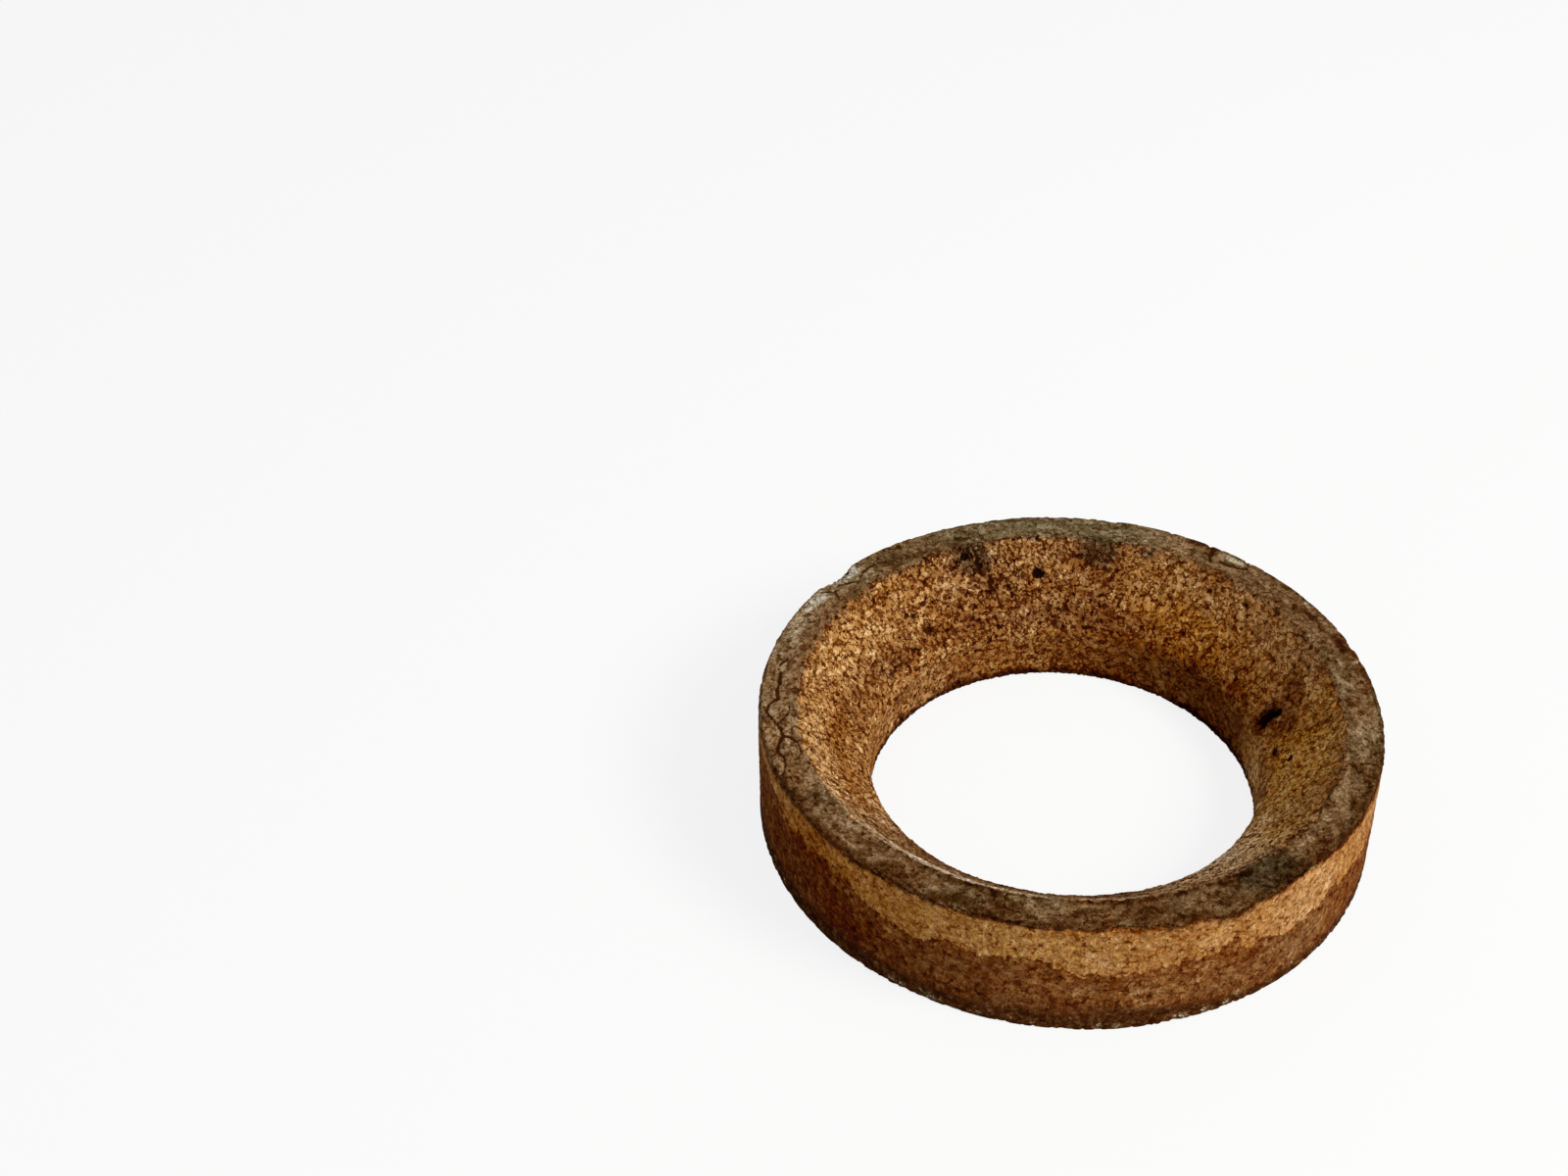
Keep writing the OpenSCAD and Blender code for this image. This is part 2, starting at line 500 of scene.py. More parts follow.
# Wear, cracks and stains: directions in degrees from +X, anticlockwise from above, the rest in millimetres.
wear = {
    "scuffDepth": [  # how far the rubbed band lies below the skin
        (-180, 0.05), (-165, 0.08), (-150, 0.25), (-130, 0.34), (-45, 0.3), (-20, 0.12), (60, 0.12),
        (100, 0.2), (125, 0.05),
    ],
    "scuffStep": 0.5,  # over how much of the height the skin's edge slopes
    "skinEnd": [  # how far below the rim the rubbed band reaches
        (-170, 4.8), (-165, 5.5), (-160, 7), (-157, 8.5), (-155.5, 9.2), (-153, 9.6), (-150.5, 5.7),
        (-149, 9.6), (-147, 8), (-145, 6.6), (-143, 6.1), (-140, 7.4), (-137, 7.9), (-134.5, 10.5),
        (-131, 11.4), (-129, 11.6), (-127, 12.7), (-124, 13.5), (-121, 12.7), (-119, 11.6), (-115.5, 9.4),
        (-113, 12), (-110, 12), (-105, 10.5), (-102.5, 8.7), (-100, 10.9), (-97, 11.3), (-95, 13.1),
        (-93, 14.4), (-90, 12.7), (-87, 13.5), (-84, 14), (-81, 12.1), (-79, 11.4), (-75, 13), (-71, 11),
        (-70, 9.9), (-69.5, 11.8), (-66, 9.9), (-65, 9.6), (-64, 12.9), (-62.5, 14.2), (-59, 13.8),
        (-57, 14.3), (-54.5, 16.2), (-52, 15.8), (-51, 14.9), (-49, 15.4), (-47, 14.2), (-45.5, 15.3),
        (-44, 13.6), (-42, 12.9), (-40, 13.1), (-35, 14.4), (-30, 14.9), (-27, 15.3), (-18, 14.1),
        (-6, 15.8), (4, 13.2), (17, 14.6), (25, 11.8), (38, 12.9), (46, 10.4), (60, 12.2), (71, 13.9),
        (80, 12.4), (92, 10.2), (101, 11.6), (113, 8.8), (124, 9.5), (133, 7.1), (146, 8.2), (158, 5.9),
        (171, 6.3), (180, 5.1),
    ],
    "rimSkinInner": [  # where the rim's skin begins, outwards from the rim's inner edge
        (-180, -0.3), (-155, 0), (-145, 0.3), (-130, 0.1), (-90, 0), (-70, 0.1), (-58, 0.4), (-34, 0.5),
        (-18, -0.3), (-2, -0.9), (20, -1), (40, -0.8), (52, -0.2), (66, 0.2), (80, 0.2), (120, -0.5),
        (145, -0.8), (160, -0.6), (174, -0.2),
    ],
    "rimSkinOuter": [  # where it ends, outwards from the rim's outer edge
        (-180, 0.4), (-162, 0.3), (-150, -0.6), (-135, -0.5), (-130, -1.1), (-126, -0.9), (-123, -0.4),
        (-121, -0.2), (-118, -0.8), (-115, -0.9), (-112.5, -0.3), (-111, -1), (-107, -0.8), (-103, -0.4),
        (-100, -0.9), (-97, -1.1), (-93.5, -0.9), (-92, -0.1), (-90.5, -1), (-87, -1.2), (-84, -0.8),
        (-81, -0.5), (-79, 0.5), (-76, 0.4), (-73, 0.2), (-71, -0.2), (-69, 0.9), (-67, 1.7), (-65.5, 1.9),
        (-64, 0.9), (-62, -0.2), (-59.5, 0.3), (-57, -0.1), (-55, -0.6), (-52, -1.1), (-49, -1.6),
        (-46, -0.2), (-40, 0.4), (-28, 0), (-12, 0.3), (6, 0.5), (30, 0.5), (46, 0.4), (55, 0.5), (80, 0.5),
        (110, 0.4), (128, 0.2), (137, -1.6), (146, -0.4), (165, 0.2),
    ],
    "rimSoft": [  # how far the edge of the rim's skin is drawn out
        (-180, 0.5), (-150, 0.35), (-60, 0.3), (-35, 0.5), (-10, 1.6), (5, 2.6), (40, 2.6), (56, 1.2),
        (70, 0.5), (100, 0.3), (118, 0.8), (140, 1), (165, 0.65),
    ],
    "fringeDirtAndShadow": [  # stops darker, where dirt and a painted shadow spill over the rim's outer edge
        (-180, 0.7), (-150, 0.8), (-128, 1.5), (-104, 1.5), (-96, 0.9), (-70, 0.9), (-45, 1.2), (-25, 0.7),
        (180, 0.7),
    ],
    "contrast": [  # how strongly the cut granules stand out
        (-180, 0.98), (-150, 0.94), (-90, 0.9), (-75, 1), (-62, 1.35), (-50, 1.35), (-40, 1), (-30, 0.72),
        (0, 0.78), (25, 0.8), (45, 0.92), (65, 0.98), (80, 1.14), (95, 1.3), (112, 1.2), (130, 1.13),
        (160, 1.04),
    ],
    "outerEdgeDarkening": [  # stops darker along the rim's outer edge
        (-180, 0.2), (-165, 0.3), (-152, 0.9), (-142, 1.1), (-132, 1.3), (-122, 1.1), (-113, 1), (-105, 1),
        (-95, 0.8), (-85, 0.6), (-75, 1.1), (-65, 1.9), (-55, 1.5), (-45, 1.4), (-35, 1.8), (-25, 1.3),
        (-15, 0.7), (-4, 1.3), (5, 1.1), (15, 1.4), (35, 1.5), (45, 1.1), (56, 1.2), (66, 0.5), (120, 0.2),
        (150, 0),
    ],
    "innerDirt": [  # the same along its inner edge
        (-180, 0), (-150, 0.2), (-135, 0.4), (-122, 0.9), (-108, 0.8), (-97, 0.1), (-88, 0.8), (-70, 0.5),
        (-55, 0.5), (-30, 0.2), (0, 0), (120, 0), (135, 0.4), (165, 0.3),
    ],
    "lipDustAndSheen": [  # how pale the near side's inner edge is, with dust and a painted sheen
        (-158, 0), (-148, 0.35), (-138, 0.6), (-128, 0.8), (-117, 1), (-108, 0.85), (-99, 0.6), (-94, 0.55),
        (-85, 0.75), (-78, 0.4), (-70, 0.15), (-54, 0.2), (-46, 0),
    ],
    "stain": [  # how strongly the near side's seat is stained
        (-158, 0), (-148, 0.5), (-138, 0.8), (-126, 1), (-80, 1), (-73, 0.5), (-66, 0),
    ],
    "holeFootDarkening": [  # how high the darkening climbs from the hole's bottom edge
        (-175, 1.1), (-150, 0.8), (0, 1), (15, 2), (30, 2.4), (45, 1.6), (62, 1.2), (72, 1.8), (82, 2.3),
        (90, 1.6), (97, 2.2), (104, 1.8), (112, 1.6), (119, 2.6), (126, 1.2), (136, 1.4), (143, 2.2),
        (150, 1.9), (157, 1.5), (168, 1.2),
    ],
    "crust": [  # how much pale crust the rim carries
        (-180, 0.25), (-160, 0.1), (-130, 0), (-100, -0.1), (-60, -0.3), (-20, 0), (20, 0), (55, 0.1),
        (100, 0), (120, 0), (135, 0.45), (160, 0.35),
    ],
    "footDirt": [  # how high the dirt climbs from the bottom
        (-180, 5.5), (-160, 5), (-140, 5.2), (-125, 4.8), (-110, 3.9), (-95, 4.6), (-85, 5.4), (-74, 4.6),
        (-66, 3.1), (-58, 2.6), (-45, 2.9), (-30, 3.6), (0, 4.2), (45, 3.4), (90, 4.6), (135, 3.6),
    ],
    "granuleStep": 0.22,  # millimetres, how far single granules stand proud or lie deep
    "looseGranule": 0.22,  # how deep they lie along the wall's two edges
    "tornEdge": 0.5,  # how deep those edges are torn
    "throatBulge": 0.42,  # how far the near side swells into the opening
    "lipBulge": 0.42,
    "lipRagged": 0.35,
    "lipGranules": 0.45,
    "unwornTop": 0.45,  # how much fuller the top edge is left on the left and the right
    "unwornFoot": 0.35,
    "unwornHole": 0.3,
    "farOff": 9.0,  # millimetres, further than any mark colours
    "followGranules": 0.3,  # how far the marks' edges follow the granules
    "raggedPit": 0.4,
    "raggedCrack": 0.3,
    "raggedGouge": 0.25,
    "patchEdge": (0.3, 1.25, 0.55),  # how ragged, where it ends and where it is full, with the oval at 1
    "spotEdge": (0.35, 1.3, 0.5),
    "pitDark": 0.12,  # how dark the shallowest pit is
    "darkByDepth": 0.62,  # and how much darker with each millimetre
    "darkestPit": 0.9,
    "gougeDark": 0.93,
    "holeFootStops": 1.3,  # stops darker, the hole's bottom edge
    "seatStain": 0.75,  # stops darker, the near side's seat
    "deepStain": 0.8,  # and more further down
    "stainHue": 0.45,
    "rimWrap": 33,  # the rim's own pattern is drawn round a cylinder of this radius
}

rimCracks = [  # width, depth, then (direction, radius) along the crack
    (0.6, 0.45, [(-160.3, 69.2), (-161.4, 67.9), (-163.2, 66.7), (-165.6, 66.3), (-167.4, 67.2)]),
    (1, 0.5, [(-167.4, 67.2), (-169.2, 66.5), (-171.4, 65.2), (-173.2, 65.3)]),
    (0.7, 0.45, [(-173.2, 65.3), (-175, 65.8), (-176.6, 66.9), (-178.6, 68.1), (-180.6, 67.6),
                 (-181.6, 66.5)]),
    (0.8, 0.4, [(-181.6, 66.5), (-182.4, 65.5), (-184.6, 65.8), (-187, 65.5), (-189, 65.7), (-190.6, 65.6)]),
    (0.5, 0.35, [(-190.6, 65.6), (-191.8, 66.8), (-193.4, 66), (-194.8, 65)]),
    (0.55, 0.35, [(-178.6, 68.1), (-180.2, 68.9), (-182, 69.2)]),
    (0.6, 0.4, [(-171.4, 65.2), (-171, 63.8), (-169.6, 62.6), (-167.4, 62), (-165.6, 62.5), (-164.5, 63.4),
                (-164.4, 64.4)]),
    (0.55, 0.4, [(-175.6, 65.4), (-176.6, 64.2), (-178.2, 63), (-180.4, 62.8)]),
    (0.45, 0.3, [(-167.4, 67.2), (-166.4, 68.2), (-166, 69.2)]),
    (0.4, 0.25, [(-145, 66.8), (-144.3, 65.2), (-143.1, 64.3)]),
    (0.4, 0.25, [(-127.4, 67.8), (-125.9, 66.3)]),
    (0.45, 0.3, [(-116.4, 67.6), (-116.9, 65.7), (-115.5, 65.1)]),
    (0.4, 0.25, [(-98.6, 66.7), (-97.3, 67.1), (-96.6, 67.3)]),
    (0.4, 0.2, [(-95.8, 64.6), (-94.4, 66)]),
    (0.4, 0.25, [(-80.2, 62), (-80, 64.2), (-79.7, 66.1)]),
    (0.45, 0.3, [(-19, 68.9), (-18.7, 67), (-18.9, 65.4)]),
    (0.4, 0.2, [(-22, 65), (-20.5, 64.2), (-18.9, 65.4), (-16.2, 63.6)]),
    (0.4, 0.2, [(-42.6, 66.4), (-40.6, 65.1), (-39.6, 64.4)]),
    (0.7, 0.5, [(54.6, 69.6), (53.6, 68.2), (53.2, 66.2), (52.1, 63.9)]),
    (0.7, 0.35, [(44.6, 67.2), (46.4, 65.8), (48.6, 65.3), (50.2, 65.2)]),
    (0.6, 0.35, [(126.8, 65.3), (128.6, 66), (131.4, 66.1), (133, 65.6), (134.4, 64.9)]),
    (0.6, 0.35, [(143.6, 68.4), (142.4, 67), (141.6, 65.6), (142.8, 63.6)]),
    (0.5, 0.3, [(141.6, 65.6), (139.6, 66.6), (137.6, 65.4), (135.8, 64.2)]),
    (0.55, 0.3, [(150.6, 64.6), (152, 63.9), (153.2, 65.2)]),
]

seatCracks = [  # width, depth, then (direction, distance down from the rim)
    (0.9, 0.5, [(106.6, 1.4), (106.2, 3.4), (106.7, 5.2), (106.1, 8.2)]),
    (0.5, 0.3, [(97.4, 9), (97.1, 10.9), (97.5, 13)]),
    (0.5, 0.3, [(145.8, 15.9), (147.2, 15.2), (149.2, 15.6)]),
    (0.6, 0.3, [(104.2, 8.4), (103.6, 9.6), (104.6, 10.8), (103.8, 12.2)]),
]

seatPits = [  # direction, distance down, width, height, depth
    (91.5, 9.3, 2.7, 2.6, 1.3), (109.3, 2.9, 2.3, 2, 1.1), (104, 7.2, 1.2, 1.4, 0.6),
    (75.2, 7.1, 1.3, 1.2, 0.7), (65.2, 1.6, 1.5, 1.1, 0.5), (124, 10.5, 1.6, 1.5, 0.8),
    (128.2, 12.4, 1.1, 1, 0.6), (125.6, 16.8, 2.3, 1.6, 0.7), (142.5, 13.8, 1.1, 1, 0.5),
    (-8.7, 15.7, 2.2, 1.3, 0.9), (-2.9, 19.7, 2.6, 1.5, 0.9), (38.8, 3.7, 1.9, 1.2, 0.8),
    (48.7, 5.1, 1.2, 1.2, 0.7), (49.5, 17, 1.2, 1.2, 0.7), (17.5, 6.8, 1.7, 0.9, 0.5),
    (18, 1, 1.6, 1.4, 0.4), (12.7, 5.9, 0.9, 0.9, 0.5), (13.9, 4.2, 0.9, 1.1, 0.5),
    (32.8, 8.3, 1, 0.9, 0.5), (36, 9, 1, 1, 0.5), (50.3, 8.5, 0.9, 1, 0.5), (29.2, 17.8, 1, 0.9, 0.5),
    (71.3, 3, 1.1, 0.9, 0.5), (73.7, 15.9, 1, 0.9, 0.5), (80.7, 16.3, 1, 0.8, 0.5),
    (79, 20.3, 1.1, 0.8, 0.4), (87.8, 21.6, 1.4, 0.8, 0.4), (99.4, 11.7, 1, 1, 0.5),
    (102.7, 11.7, 1, 1.3, 0.6), (99.2, 16.1, 0.9, 0.9, 0.4), (98.4, 20.9, 1.2, 0.8, 0.4),
    (105.3, 19, 1.2, 1.2, 0.4), (111.7, 18.5, 1, 0.9, 0.4), (117.7, 21.6, 1.3, 0.8, 0.4),
    (121.2, 6.1, 1, 1, 0.5), (126.8, 4.8, 1, 1, 0.5), (156.4, 7.2, 1.1, 1, 0.5),
    (163.7, 9.4, 1.1, 0.9, 0.5), (155, 20.8, 1.2, 0.9, 0.4), (-178.4, 10.5, 1.3, 0.9, 0.5),
    (-166.9, 5.3, 1.2, 0.9, 0.4), (-157, 5.5, 1.1, 0.9, 0.4), (-161, 8.3, 1.2, 1, 0.5),
    (-164.3, 12.7, 1.2, 1, 0.5), (-169.7, 18.8, 1.3, 1, 0.5), (-152.5, 12.5, 1.2, 0.9, 0.5),
    (-147.2, 9, 1.1, 0.9, 0.4), (-142.2, 12.5, 1.1, 0.9, 0.4), (-2.7, 3.9, 1.1, 0.9, 0.4),
    (-18.3, 7.2, 1.1, 0.8, 0.4), (-26.2, 9.4, 1.1, 0.9, 0.4), (-13.5, 13.3, 1, 0.9, 0.4),
    (-30.2, 5.7, 1.1, 0.9, 0.4), (-45, 8.8, 1.1, 0.9, 0.4), (-62, 12.4, 1.3, 1, 0.5),
    (-88, 7.3, 1.1, 1, 0.4), (-106, 14.6, 1.2, 0.9, 0.5), (-127, 9.9, 1.1, 1, 0.4),
]

gouge = {  # hook-shaped, where a clump of granules was torn out
    "depth": 1.5,
    "parts": [(1.2, [(9.9, 17.4), (10.2, 18.6), (10.3, 19.8)]),
              (0.9, [(9.2, 15.6), (9.7, 17)]),
              (0.5, [(10.4, 20), (11.3, 21.6)]),
              (0.45, [(9.4, 19.2), (8.4, 20.3)])],
}

rimPits = [  # direction, radius, width, height, depth
    (14.5, 66.8, 1.9, 1.3, 0.7), (121.5, 68.2, 1.4, 1.5, 0.6), (-122.3, 69.1, 2.2, 0.9, 0.6),
    (-116.4, 69.2, 1.8, 0.9, 0.6), (-62.4, 63.4, 1.6, 1.2, 0.4), (-59.8, 62.3, 3.4, 1.7, 0.7),
    (-61.2, 61.9, 1.6, 1.2, 0.7), (-33.2, 62, 1.1, 0.8, 0.4), (-131.4, 66.5, 1.4, 1.6, 0.4),
    (104.2, 67.3, 0.9, 1.2, 0.4), (106.8, 66.4, 0.7, 1.4, 0.3), (108.6, 66.9, 1, 0.9, 0.4),
    (74.6, 64.6, 1, 0.7, 0.3), (62.8, 69, 1.3, 0.9, 0.4), (12.6, 62.4, 1.2, 0.9, 0.4),
    (-83, 64.6, 0.8, 1.6, 0.3),
]

edgeBites = [  # direction, length, depth: out of the outer top edge
    (137.5, 12, 1.9), (134.3, 3.4, 0.9), (141.6, 2.6, 1.1), (10.5, 5, 0.9), (15, 5, 1), (47, 5, 0.9),
    (31, 4.4, 0.5), (40.5, 3, 0.5), (24, 3, 0.4), (-49.2, 4.6, 0.7), (-92, 3, 0.4), (146, 4, 0.6),
    (153, 3, 0.4), (-14, 4, 0.4), (-24, 3.2, 0.4), (78, 4, 0.35), (113, 5, 0.4), (-156, 4, 0.35),
]

footBites = [  # direction, length, depth: out of the outer bottom edge
    (-124, 4, 0.5), (-117.5, 3, 0.5), (-99, 3.4, 0.4), (-76, 3.6, 0.5), (-62, 2.6, 0.4), (-140, 5, 0.5),
    (-34, 4.4, 0.5), (12, 5.2, 0.5), (58, 3.6, 0.4), (101, 4.8, 0.5), (163, 5, 0.5),
]

wallPits = [  # direction, distance below the rim, width, height, depth
    (-93.1, 4.8, 0.8, 1.9, 0.5), (-84.7, 6.2, 1.2, 0.8, 0.5), (-113, 5.2, 1, 0.9, 0.4),
    (-116.7, 3.9, 0.9, 0.9, 0.3), (-108.9, 5, 1, 1, 0.4), (-69.6, 2.9, 0.8, 1.8, 0.3),
    (-65.6, 2.6, 1.1, 0.8, 0.4), (-63.3, 7.7, 1.1, 0.9, 0.4), (-143.5, 2.2, 1.2, 1, 0.4),
    (-80.8, 21, 1.5, 1.2, 0.5), (-100.3, 5.4, 1, 0.9, 0.4), (-57.7, 5.3, 0.9, 0.8, 0.3),
    (-76.2, 8.6, 0.9, 0.8, 0.3), (-104.6, 7.8, 1, 0.8, 0.4), (-127.3, 6.6, 1.1, 0.9, 0.4),
    (-121.4, 9.4, 0.9, 0.8, 0.3), (-50.6, 9.6, 1, 0.9, 0.4), (-36.5, 6.6, 1, 0.9, 0.4),
    (-94.6, 17.6, 1.1, 0.9, 0.4), (-71.4, 19.8, 1, 0.8, 0.3), (-110.5, 20.4, 1.1, 0.9, 0.4),
    (-86.4, 24.2, 1.1, 0.8, 0.4), (-58.4, 21.5, 1, 0.8, 0.3), (-131.8, 17.7, 1.2, 0.9, 0.4),
    (-12, 8, 1.4, 1.2, 0.5), (7.5, 19.6, 1.6, 1.1, 0.5), (28, 5.1, 1.2, 1, 0.4),
    (39.5, 21.2, 1.3, 1.4, 0.5), (57.5, 7.2, 1.1, 1.1, 0.5), (73, 17.8, 1.4, 1, 0.4),
    (88.5, 4.6, 1.2, 0.9, 0.4), (104, 22.3, 1.5, 1, 0.5), (119.5, 6, 1.2, 1.2, 0.5),
    (139, 15.4, 1.3, 1, 0.5), (152.5, 20.6, 1.2, 1.1, 0.4), (168, 11, 1.3, 1.2, 0.5),
]

# Patches of dirt and wear, and a few of painted light and painted shade: direction, place, width, height,
# how many stops lighter, how much sootier.
seatPatches = [
    (-28, 10, 50, 30, 0.42, -0.12), (0, 10, 50, 34, 0.08, -0.1), (28, 12, 26, 30, 0.12, 0),
    (148, 12, 34, 30, -0.08, 0), (50, 16, 34, 14, -0.1, -0.1), (92, 12, 26, 30, 0.12, 0.04),
    (-152, 9, 22, 26, -0.05, 0.02), (125, 18, 34, 9, -0.25, 0), (90, 19.5, 60, 7, -0.3, 0.05),
    (108, 9, 24, 16, -0.05, 0.12), (38, 16, 44, 15, 0, -0.12), (-12, 13, 36, 17, 0.05, -0.1),
    (20, 19.5, 50, 7, -0.15, 0), (5, 13.5, 9, 5, -0.15, 0.12), (-166, 5, 34, 13, 0.3, 0.03),
    (-169, 13.6, 42, 5.5, -0.5, -0.06), (-154, 6, 16, 14, 0.25, 0.05), (150, 10.5, 24, 11, 0.25, 0.02),
    (76, 8, 12, 16, -0.25, 0.05), (65, 13.5, 9, 6, 0.35, 0), (115, 8.5, 8, 5, 0.3, 0.05),
    (115, 3, 9, 5, -0.3, 0), (-42, 19, 26, 9, 0.35, 0.15), (-22, 3, 22, 5, -0.28, 0),
    (173, 13.6, 10, 5, -0.35, -0.06), (84, 13.5, 9, 6, -0.25, 0), (28, 5, 34, 9, -0.12, 0.05),
    (45, 3, 9, 5, -0.35, 0), (-147.5, 3.5, 6, 5, -0.35, -0.15), (-148, 13, 6, 15, 0.35, 0.1),
    # (-60, 15, ...) lightens the near right seat: a painted sheen
    (20, 3.5, 22, 6, 0, 0.1), (-60, 15, 36, 24, 0.44, 0.17), (105, 11, 70, 30, 0, 0.08),
    (18, 8, 30, 18, 0, 0.08), (143, 19, 12, 6, 0.1, 0.15), (27, 0.4, 50, 2.2, -0.3, 0.3),
    (158, 18.6, 40, 9.5, -0.5, 0), (95, 12, 62, 30, -0.45, -0.06), (78, 19, 50, 9, -0.2, 0.06),
    (20, 13, 34, 24, -0.3, 0), (-20, 10, 30, 20, 0.1, 0.1), (152, 5.5, 26, 10, 0.15, 0.05),
    (77.2, 3, 11, 8, -0.6, 0.4), (65.8, 1.8, 3.7, 2.6, -0.7, 0.4), (107.4, 3.6, 10, 8.8, -0.75, 0.4),
    (104, 10.8, 3.5, 3.2, -0.5, 0), (11, 10, 9.2, 5.2, -0.9, 0.05), (10.4, 15, 5, 6, -0.7, 0.08),
    (9.3, 19, 6.5, 7, -0.8, 0.1), (3, 14.2, 6, 4.6, -1.1, 0.14), (24, 20, 7, 2.6, -0.6, -0.04),
    (37, 20.5, 3.6, 1.6, -0.6, -0.04), (159.8, 15.3, 3.6, 3.4, -0.8, 0.05),
    (149, 14.2, 8.5, 7.5, -0.15, 0.05), (137, 20, 9, 5, -0.5, 0), (-22, 11, 52, 20, -0.08, -0.04),
    (158, 18, 44, 8, 0.04, 0.05), (125.6, 16.8, 3.4, 2.6, -0.7, 0.1), (-60, 1.6, 5.5, 2.4, -0.8, 0.1),
    (10, 22, 6.5, 4, -1, -0.1), (48, 22.1, 13, 3.6, -0.4, -0.02), (118.4, 22.4, 5, 3, -0.8, 0),
    (24, 20.9, 9, 4, -0.7, -0.05), (3.8, 17.3, 4.5, 3, -0.7, -0.05), (106, 9.6, 4, 3, -0.8, 0.1),
    (106.2, 0.8, 3.4, 2.4, 0.8, 0), (48.5, 0.5, 9, 3, -0.8, -0.1), (9, 6, 8, 5, 0.35, 0),
    (0.2, 1.8, 6, 3.6, 0.4, -0.1), (31, 10.4, 9, 5, 0.35, 0), (64.7, 9.7, 8, 6, 0.3, 0),
    (18, 10.8, 7, 5, 0.3, -0.05), (-64, 19.8, 8, 4, -0.6, -0.1), (-179, 11, 50, 26, 0.1, 0),
    (-153, 18.5, 14, 6, 0.35, 0.15), (-154, 9, 14, 14, -0.05, -0.06), (-32, 19, 14, 6, 0.22, -0.03),
    (-12, 16.5, 20, 9, 0.18, 0), (4, 5, 11, 8, 0.15, -0.08), (25, 6, 10, 11, 0.2, -0.08),
    (86, 3.5, 12, 6, 0.1, 0.1), (96, 13.5, 26, 5, -0.22, 0), (170, 13.5, 17, 5, -0.28, 0.02),
    (150, 7, 28, 9, -0.03, -0.09), (66, 23.4, 22, 4, -0.6, -0.1), (51, 24, 24, 9, -0.12, -0.03),
    (110.3, 9.6, 3.6, 4, 0.5, 0), (105.6, 2.2, 3, 2.6, 0.5, 0), (-67, 4.7, 6, 4, -0.5, -0.2),
    (115, 18.5, 8, 5, -0.2, 0), (115, 13.5, 8, 5, 0.2, 0), (125, 5, 16, 12, 0, -0.06),
]

holePatches = [
    # (5, 6, ...) lightens the hole's wall on the right: painted light; (35, 6.5, ...) darkens the hole
    # beside it
    (35, 6.5, 44, 20, -1.1, -0.08), (72, 6.5, 30, 18, -0.35, -0.05), (5, 6, 18, 14, 0.9, -0.05),
    (112, 5, 90, 12, -0.45, -0.05), (138, 5, 34, 12, 0.38, 0.13), (52, 6.5, 11, 10, 0.5, 0),
    (143, 8.8, 12, 4, -0.3, 0), (67, 1.7, 12, 3, -0.35, -0.1), (97, 1.7, 12, 3, -0.3, 0),
    (22, 8, 10, 6, 0.2, 0.1), (120.7, 3.4, 7, 3.6, -0.6, 0.05),
]

